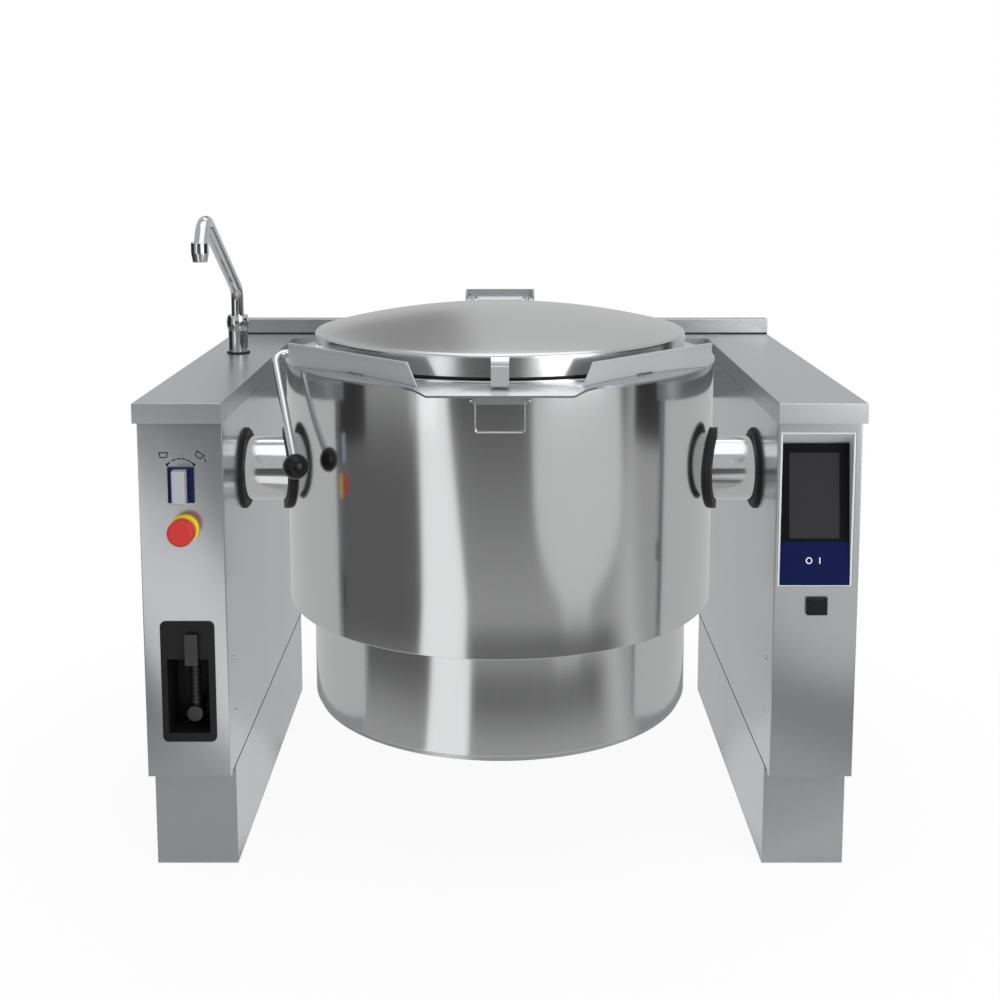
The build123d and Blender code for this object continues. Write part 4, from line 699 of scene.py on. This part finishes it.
class BOILINGPAN_OT_lid(bpy.types.Operator):
    """Shallow domed lid with a rounded rim and a straight skirt, and the rubber seal under it"""

    bl_idname = "boilingpan.lid"
    bl_label = "Lid"

    def execute(self, context):
        sizes = context.scene.boiling_pan_sizes
        bottom, top = span("lid_shell", 2)
        radius, sheet, rise = LID_RADIUS, sizes.sheet, sizes.lid_rim_drop
        # Sphere through the top and the rim: its radius is half of (radius squared + rise squared) over rise
        dome = (radius ** 2 + rise ** 2) / 2 / rise

        def half(inset):
            """From the axis along the dome, round the rim and down the skirt, moved inwards by inset."""
            across = np.linspace(0, radius - inset, 49)
            arc = np.stack([across, top - dome + np.sqrt((dome - inset) ** 2 - across ** 2)], 1)
            edge = sizes.lid_edge_radius - inset
            rim = rounded([arc[-4], arc[-1], (radius - inset, bottom)], [0, edge, 0], 10)
            return np.concatenate([arc[:-3], rim[1:]])

        grid = lathe(np.concatenate([half(0), half(sheet)[::-1]]), sizes.round_steps, (0, PAN_Y, 0))
        shell = solid("lid_dome", "lid", [grid], "lid")
        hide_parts("lid_shell")

        foot, head = span("lid_seal", 2)
        outer, inner, edge = span("lid_seal", 0)[1], radius - 5 * sheet, 0.0008
        band = closed_rounded([(inner, foot), (outer, foot), (outer, head), (inner, head)], edge, 4)
        grid = lathe(band, sizes.round_steps, (0, PAN_Y, 0))
        seal = solid("lid_gasket", "lid", [grid], "rubber")
        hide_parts("lid_seal")
        return {"FINISHED"}


# Printed marks, as (x, z) from the upper edge of the tilt switch, or from a sign's own centre
ARC_ENDS, ARC_RADIUS, ARC_FLATNESS, ARC_DROP = (148, 32), 0.021, 0.85, 0.006
DASH_STARTS, DASH_POINTS = (0, 5, 9, 13, 17, 21), 4
SIGNS = ((-0.0235, 0), (0.0255, -35))
SIGN_HEIGHT = 0.016
BOWL = ((-0.0055, 0.0035), (-0.0045, -0.0025), (0.0045, -0.0025), (0.0055, 0.0035))
BOWL_LID = ((-0.0068, 0.0042), (0.0068, 0.0042))
POUR = ((0.0335, 0.0125), (0.0345, 0.0095), (0.0345, 0.0065))

# Power marks on the display's foot, and the part of the glass's depth that isn't its slope
POWER_HEIGHT, POWER_SHIFT, POWER_RING, POWER_BAR, GLASS_STEP = 0.034, 0.0075, 0.0039, 0.0042, 0.004


class BOILINGPAN_OT_marks(bpy.types.Operator):
    """Printed pan signs and turning arc above the tilt switch, and the power marks on the display's foot"""

    bl_idname = "boilingpan.marks"
    bl_label = "Marks"

    def execute(self, context):
        sizes = context.scene.boiling_pan_sizes
        line, thick = sizes.mark_line, sizes.mark_thickness
        origin = np.array([middle("switch_base")[0], high("switch_base")[2]])
        angle = np.linspace(*np.radians(ARC_ENDS), 25)
        arc = np.stack([ARC_RADIUS * np.cos(angle), ARC_RADIUS * ARC_FLATNESS * np.sin(angle) - ARC_DROP], 1)
        arc += origin
        strokes = [ribbon(arc[start:start + DASH_POINTS], line, PANEL_Y, thick) for start in DASH_STARTS]
        for end, out in ((arc[0], -1), (arc[-1], 1)):
            head = end + np.array([(out * 0.0008, -0.0032), (out * 0.0032, 0.0012), (-out * 0.0022, 0.0022)])
            strokes.append(plate(head, PANEL_Y, thick))
        for shift, lean in SIGNS:
            cosine, sine = math.cos(math.radians(lean)), math.sin(math.radians(lean))
            for path in (rounded(BOWL, 0.0012, 4), BOWL_LID):
                tipped = path @ np.array([[cosine, sine], [-sine, cosine]])
                strokes.append(ribbon(tipped + origin + (shift, SIGN_HEIGHT), line * 0.8, PANEL_Y, thick))
        strokes.append(ribbon(POUR + origin, line * 0.7, PANEL_Y, thick))
        solid("tilt_signs", "stand", strokes, "ink")

        glass_low, glass_high = low("display_glass"), high("display_glass")
        _, deep, tall = glass_high - glass_low
        lean = (deep - GLASS_STEP) / tall
        level = glass_low[2] + POWER_HEIGHT
        depth = glass_low[1] + lean * POWER_HEIGHT - thick
        centre = np.array([middle("display_glass")[0], level])
        ring = circle(POWER_RING, 32) + centre - (POWER_SHIFT, 0)
        stroke = centre + [(POWER_SHIFT, -POWER_BAR), (POWER_SHIFT, POWER_BAR)]
        marks = [ribbon(path, line * 0.75, depth, thick) for path in (np.append(ring, ring[:1], 0), stroke)]
        for points, _ in marks:
            points[..., 1] += lean * (points[..., 2] - level)
        solid("power_marks", "stand", marks, "white")
        return {"FINISHED"}


# Casing screws: heights on the inner sides and the rear, and distances from the front and the rear's middle
SIDE_LEVELS, REAR_LEVELS, SIDE_INSET, REAR_SHIFT = (0.308, 0.228), (0.19, 0.42, 0.65), 0.03, 0.048
HEAD_DOME, HEAD_SUNK = 0.45, 0.0002


class BOILINGPAN_OT_screws(bpy.types.Operator):
    """Domed screw heads on the inner sides of the columns and on their rear walls"""

    bl_idname = "boilingpan.screws"
    bl_label = "Screws"

    def execute(self, context):
        radius = context.scene.boiling_pan_sizes.screw_radius
        turn = np.linspace(0, math.pi / 2, 7)
        dome = np.stack([radius * np.cos(turn), radius * HEAD_DOME * np.sin(turn)], 1)
        profile = np.concatenate([[(0, -HEAD_SUNK), (radius, -HEAD_SUNK)], dome[:-1], [(0, dome[-1, 1])]])
        inner_x = span("right_casing", 0)[0]
        front, rear = span("right_casing", 1)
        column_x = float(middle("right_casing")[0])
        side_head, closed = lathe(profile, 20, (0, 0, 0), "X")
        rear_head, _ = lathe(profile, 20, (0, 0, 0), "Y")
        heads = []
        for side in (-1, 1):
            for level in SIDE_LEVELS:
                heads.append(side_head * (-side, 1, 1) + (side * inner_x, front + SIDE_INSET, level))
            for level in REAR_LEVELS:
                for shift in (-REAR_SHIFT, REAR_SHIFT):
                    heads.append(rear_head + (side * column_x + shift, rear, level))
        solid("casing_screws", "stand", [(head, closed) for head in heads], "bright", 40)
        return {"FINISHED"}


# Share of its radius that the nut is thinner at its ends, and shares of the nozzle's height and radius
NUT_BULGE, NOZZLE_TAPER, MOUTH_BORE, MOUTH_EDGE = 0.13, 0.45, 0.62, 0.82


class BOILINGPAN_OT_tap_parts(bpy.types.Operator):
    """Barrel-shaped union nut, nozzle with a tapered mouth, and the black ring under the tap's foot"""

    bl_idname = "boilingpan.tap_parts"
    bl_label = "Tap parts"

    def execute(self, context):
        sheet, steps = context.scene.boiling_pan_sizes.sheet, 64
        foot, top = span("tap_nut", 2)
        radius, bore = round_radius("tap_nut"), round_radius("tap_base") - 3 * sheet
        turn = np.linspace(-1, 1, 17)
        barrel = np.stack([radius - NUT_BULGE * radius * turn ** 2,
                           (foot + top) / 2 + turn * (top - foot) / 2], 1)
        profile = np.concatenate([[(bore, foot)], barrel, [(bore, top)]])
        grid = lathe(profile, steps, middle("tap_nut") * (1, 1, 0))
        nut = solid("tap_union_nut", "stand", [grid], "chrome")
        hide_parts("tap_nut")

        foot, top = span("tap_nozzle", 2)
        radius = round_radius("tap_nozzle")
        mouth = radius * MOUTH_BORE
        outline = [(0, foot + sheet), (mouth, foot + sheet), (mouth, foot), (radius * MOUTH_EDGE, foot),
                   (radius, foot + (top - foot) * NOZZLE_TAPER), (radius, top), (0, top)]
        profile = rounded(outline, [0, 0, 0, 0.0006, 0.0008, 0.0015, 0])
        grid = lathe(profile, steps, middle("tap_nozzle") * (1, 1, 0))
        nozzle = solid("tap_mouthpiece", "tap", [grid], "chrome")
        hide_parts("tap_nozzle")

        base = middle("tap_base") * (1, 1, 0) + (0, 0, span("left_cap", 2)[1])
        band = circle(sheet * 0.8, 16) + (round_radius("tap_base") + sheet * 0.7, sheet * 0.7)
        solid("tap_foot_ring", "stand", [lathe(band, steps, base)], "rubber")
        return {"FINISHED"}


class BOILINGPAN_OT_joint_shade(bpy.types.Operator):
    """Black strips at the joints where the columns' casings meet the caps and the plinths, on the sides
    facing the
    pan: painted shade, drawn for the dark gaps of these real joints
    """

    bl_idname = "boilingpan.seams"
    bl_label = "Seams"

    def execute(self, context):
        sheet = context.scene.boiling_pan_sizes.sheet
        section = np.array([(-0.25, -1), (0.25, -1), (0.25, 1), (-0.25, 1)]) * sheet / 2
        joint_shade_strips = []
        for side, inner in (("left", 1), ("right", 0)):
            wall = span(side + "_casing", 0)[inner]
            front, rear = span(side + "_casing", 1)
            for level in (span(side + "_cap", 2)[0] - sheet / 2, span(side + "_casing", 2)[0] + sheet / 2):
                joint_shade_strips.append(bar((wall, front + sheet, level), (wall, rear - sheet, level), section))
        # Each strip is painted shade: a black line for the shadow in its joint's gap
        solid("casing_joints", "stand", joint_shade_strips, "rubber")
        return {"FINISHED"}


class BOILINGPAN_OT_upstand_line(bpy.types.Operator):
    """Black round bar along the front foot of the upstand"""

    bl_idname = "boilingpan.gasket"
    bl_label = "Upstand bead"

    def execute(self, context):
        inset, radius = 0.001, 0.0016
        start = low("upstand") + (inset, 0, inset)
        end = start * (0, 1, 1) + (high("upstand")[0] - inset, 0, 0)
        solid("upstand_bead", "stand", [bar(start, end, circle(radius, 12))], "rubber")
        return {"FINISHED"}


# Stage

def light_panel(name, centre, width, height, power):
    """Rectangular area lamp that looks at the middle of the part."""
    data = bpy.data.lights.new(name, "AREA")
    data.shape = "RECTANGLE"
    data.size, data.size_y, data.energy = width, height, power
    lamp = placed(name, data)
    lamp.location = centre
    aim = Vector(LAMP_TARGET) - Vector(centre)
    lamp.rotation_euler = aim.to_track_quat("-Z", "Y").to_euler()


def glow_sheet(name, x, y, z, glow, one_sided=False):
    """Studio sheet, seen only in reflections, from grids of its coordinates and of its glow at each point. A
    one-sided sheet lets rays that come from behind it pass."""
    x, y, z, glow = np.broadcast_arrays(x, y, z, glow)
    mesh = bpy.data.meshes.new(name)
    mesh.from_pydata(np.stack([x, y, z], 2).reshape(-1, 3).tolist(), [],
                     grid_faces(*x.shape, False, False).tolist())
    mesh.attributes.new("glow", "FLOAT", "POINT").data.foreach_set("value", glow.ravel())
    material = bpy.data.materials.new(name)
    material.use_nodes = True
    tree = material.node_tree
    tree.nodes.clear()
    stored = shader_node(tree, "Attribute", attribute_name="glow").outputs["Fac"]
    surface = shader_node(tree, "Emission", {"Strength": stored}).outputs["Emission"]
    if one_sided:
        behind = shader_node(tree, "NewGeometry").outputs["Backfacing"]
        surface = mixed_shader(tree, behind, surface, shader_node(tree, "BsdfTransparent").outputs["BSDF"])
    shader_node(tree, "OutputMaterial", {"Surface": surface})
    mesh.materials.append(material)
    piece = placed(name, mesh)
    piece.visible_camera = piece.visible_diffuse = piece.visible_shadow = False


def step_up(value, start, end):
    """Rises smoothly from 0 at start to 1 at end: 3 t^2 - 2 t^3, where t is the share of the way."""
    share = np.clip((value - start) / (end - start), 0, 1)
    return share * share * (3 - 2 * share)


def within(value, start, full, fall, end):
    """0 up to start, rises to 1 at full, and falls from fall to 0 again at end."""
    return step_up(value, start, full) * (1 - step_up(value, fall, end))


# The studio floor's glow in each of its sectors and in the disc under the pan, and where its painted shadow
# ring lies
ROOM_TONE, SIDE_TONE, PETAL_TONE, STRIP_TONE, DISC_TONE = 0.60, 0.44, 0.72, 1.15, 0.75
DISC_RADIUS, SHADOW_RING_RADIUS = (0.39, 0.42), (1.04, 1.14)


def floor_glow(radius, angle):
    """Glow of the studio floor in reflections, at a distance and angle from the camera's side of the pan: a
    dark sector to the left, a bright strip, a dark sector in the middle that closes towards the pan, a pale
    petal to the right and an even mid tone elsewhere, all round a disc under the pan. The sectors' edges turn
    evenly with the height at which the pan's wall mirrors the floor: 1.03 q / (1 + q), with q = (radius -
    0.324) / 1.4. near goes from 0 at a height of 0.75 to 1 at 0.41."""
    share = np.maximum(radius - 0.324, 0) / 1.4
    near = np.clip((0.75 - 1.03 * share / (1 + share)) / 0.34, 0, 1)
    tip = near ** 5
    edge, seam = -42 + 5 * near, -27 + 11 * near
    # Painted shadow of the pan on the floor: the middle sector is darker out to the ring's reach, less so
    # nearer the pan
    ring = 1 - step_up(radius, *SHADOW_RING_RADIUS)
    middle_tone = 0.12 + 0.28 * near - 0.24 * ring + 0.30 * (1 - step_up(radius, 0.70, 0.98))
    left_tone = 0.14 + 0.26 * step_up(radius, 2.2, 5.0) + 0.30 * (1 - step_up(radius, 0.7, 1.1))
    petal = within(angle, 14 + 12 * tip, 17 + 13 * tip, 60 - 20 * tip, 64 - 20 * tip)
    layers = (
        (SIDE_TONE, within(angle, 62, 75, 105, 125)),
        (middle_tone, within(angle, seam, seam + 2, 62 - 14 * near, 72 - 8 * near)),
        (PETAL_TONE, petal * step_up(radius, 1.0, 1.3)),
        (STRIP_TONE, within(angle, edge, edge + 2, seam, seam + 2)),
        (left_tone, within(angle, -125, -108, edge, edge + 2)),
        (DISC_TONE, 1 - step_up(radius, *DISC_RADIUS)),
    )
    glow = ROOM_TONE
    for tone, cover in layers:
        glow = glow + (tone - glow) * cover
    return glow


def around(angle, distance):
    """Floor point at an angle from the camera's side of the pan, positive to the right."""
    return np.sin(np.radians(angle)) * distance, PAN_Y - np.cos(np.radians(angle)) * distance


def white_room(scene):
    """World that is white to the camera and in glass, and pale grey in reflections and as light."""
    world = bpy.data.worlds.new("white studio")
    scene.world = world
    world.use_nodes = True
    tree = world.node_tree
    tree.nodes.clear()
    rays = shader_node(tree, "LightPath").outputs
    seen = worked_out(tree, "MAXIMUM", rays["Is Camera Ray"], rays["Is Transmission Ray"])
    room, white = (shader_node(tree, "Background", {"Color": colour}).outputs["Background"]
                   for colour in ((0.60, 0.61, 0.62, 1), (1, 1, 1, 1)))
    shader_node(tree, "OutputWorld", {"Surface": mixed_shader(tree, seen, room, white)})


def pale_floor():
    """Floor that takes a faint shadow near the part: to the camera, the share of plain white in it rises
    smoothly from 0.92 at 0.45 m to 1 at 1.2 m from the origin."""
    half = 30.0
    mesh = bpy.data.meshes.new("floor")
    mesh.from_pydata([(-half, -half, 0), (half, -half, 0), (half, half, 0), (-half, half, 0)], [],
                     [(0, 1, 2, 3)])
    material, tree, shader = new_material("pale floor", (0.93, 0.93, 0.93), 0.0, 0.7)
    place = shader_node(tree, "TexCoord").outputs["Object"]
    reach = shader_node(tree, "VectorMath", {0: place}, operation="LENGTH").outputs["Value"]
    fade = shader_node(tree, "MapRange", {"Value": reach, "From Min": 0.45, "From Max": 1.2, "To Min": 0.92},
                       interpolation_type="SMOOTHSTEP").outputs["Result"]
    seen = shader_node(tree, "LightPath").outputs["Is Camera Ray"]
    white = shader_node(tree, "Emission").outputs["Emission"]
    surface = mixed_shader(tree, worked_out(tree, "MULTIPLY", seen, fade), shader.outputs["BSDF"], white)
    feed(tree, tree.nodes["Material Output"], {"Surface": surface})
    mesh.materials.append(material)
    placed("floor", mesh)


# Lamps: place, width, height and power
LAMP_TARGET = (0, 0, 0.4)
LAMPS = {
    "top lamp": ((0.2, -0.4, 3.2), 3.0, 2.4, 22),
    "left lamp": ((*around(-38, 3.0), 1.2), 0.8, 2.6, 1.5),
    "right lamp": ((*around(38, 3.2), 1.4), 1.8, 2.4, 44),
    "rear lamp": ((0.0, 2.6, 4.2), 2.4, 1.2, 14),
}
STUDIO_RADIUS, STUDIO_REAR, FLAG_X, FLAG_TONE = 6.0, 3.0, 2.4, 0.04
CAMERA_PLACE, CAMERA_PITCH, CAMERA_LENS, CAMERA_SHIFT = (0, -2.1114, 1.0279), 90 - 7.14, 48.32, -0.18


def glow_sheets():
    """The sheets that the steel mirrors: the floor, a low wall round its front, a rear wall with a darker
    field, a dark flag to each side, and one pale sheet just off each column's side facing the pan."""
    radii = np.concatenate([np.linspace(0.02, 1.5, 75), np.linspace(1.6, STUDIO_RADIUS, 40)])
    radius, angle = np.meshgrid(radii, np.linspace(-180, 180, 361), indexing="ij")
    glow_sheet("floor_reflector", *around(angle, radius), 0.002, floor_glow(radius, angle))
    radius, angle = np.meshgrid(np.full(12, STUDIO_RADIUS), np.linspace(-115, 115, 231), indexing="ij")
    glow_sheet("front_reflector", *around(angle, radius), np.linspace(0, 1.6, 12)[:, None],
               floor_glow(radius, angle))
    across, height = np.meshgrid(np.linspace(-2.6, 2.6, 209), np.linspace(0.2, 5.0, 49))
    dark = within(across, -1.15, -0.80, -0.35, -0.12) * step_up(height, 1.3, 1.6)
    glow_sheet("rear_reflector", across, STUDIO_REAR, height, 0.62 - 0.31 * dark)
    along, height = np.meshgrid(np.linspace(-1.0, 1.6, 12), np.linspace(0.1, 1.4, 12))
    for name, side in (("left_flag", -1), ("right_flag", 1)):
        glow_sheet(name, side * FLAG_X, along, height, FLAG_TONE)
    wall = span("right_cap", 0)[0] - bpy.context.scene.boiling_pan_sizes.sheet / 2
    heights = np.linspace(span("right_casing", 2)[0], span("right_cap", 2)[0], 12)
    for name, side in (("left_wall_glow", -1), ("right_wall_glow", 1)):
        along, height = np.meshgrid(np.linspace(*span("right_casing", 1), 12)[::-side], heights)
        glow_sheet(name, side * wall, along, height, ROOM_TONE, one_sided=True)


class BOILINGPAN_OT_stage(bpy.types.Operator):
    """Pale floor, white surroundings, soft lamps, studio cards and the camera"""

    bl_idname = "boilingpan.stage"
    bl_label = "Stage"

    def execute(self, context):
        scene = context.scene
        scene.view_settings.view_transform = "Standard"
        white_room(scene)
        pale_floor()
        for name, lamp in LAMPS.items():
            light_panel(name, *lamp)
        glow_sheets()
        data = bpy.data.cameras.new("camera")
        data.lens, data.sensor_width, data.shift_y = CAMERA_LENS, 36, CAMERA_SHIFT
        camera = placed("camera", data)
        camera.location = CAMERA_PLACE
        camera.rotation_euler = (math.radians(CAMERA_PITCH), 0, 0)
        scene.camera = camera
        return {"FINISHED"}


class BOILINGPAN_PT_panel(bpy.types.Panel):
    """Sidebar panel that lists the pan's sizes, colours and operators"""

    bl_idname = "BOILINGPAN_PT_panel"
    bl_label = "Boiling pan"
    bl_space_type = "VIEW_3D"
    bl_region_type = "UI"
    bl_category = "Boiling pan"

    def draw(self, context):
        for operator in OPERATORS:
            self.layout.operator(operator.bl_idname)
        for group in (context.scene.boiling_pan_sizes, context.scene.boiling_pan_colours):
            for name in group.bl_rna.properties.keys():
                if name not in ("rna_type", "name"):
                    self.layout.prop(group, name)


OPERATORS = (
    BOILINGPAN_OT_finishes,
    BOILINGPAN_OT_cladding,
    BOILINGPAN_OT_casing,
    BOILINGPAN_OT_vessel,
    BOILINGPAN_OT_lid,
    BOILINGPAN_OT_marks,
    BOILINGPAN_OT_screws,
    BOILINGPAN_OT_tap_parts,
    BOILINGPAN_OT_joint_shade,
    BOILINGPAN_OT_upstand_line,
    BOILINGPAN_OT_stage,
)


CLASSES = (BoilingPanSizes, BoilingPanColours, *OPERATORS, BOILINGPAN_PT_panel)


def register():
    """Registers the classes and the scene's two property groups."""
    for cls in CLASSES:
        bpy.utils.register_class(cls)
    bpy.types.Scene.boiling_pan_sizes = PointerProperty(type=BoilingPanSizes)
    bpy.types.Scene.boiling_pan_colours = PointerProperty(type=BoilingPanColours)


def unregister():
    """Takes the scene's property groups and the classes away again."""
    del bpy.types.Scene.boiling_pan_colours
    del bpy.types.Scene.boiling_pan_sizes
    for cls in reversed(CLASSES):
        bpy.utils.unregister_class(cls)


def main():
    register()
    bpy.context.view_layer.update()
    for operator in OPERATORS:
        family, action = operator.bl_idname.split(".")
        getattr(getattr(bpy.ops, family), action)()


if __name__ == "__main__":
    main()
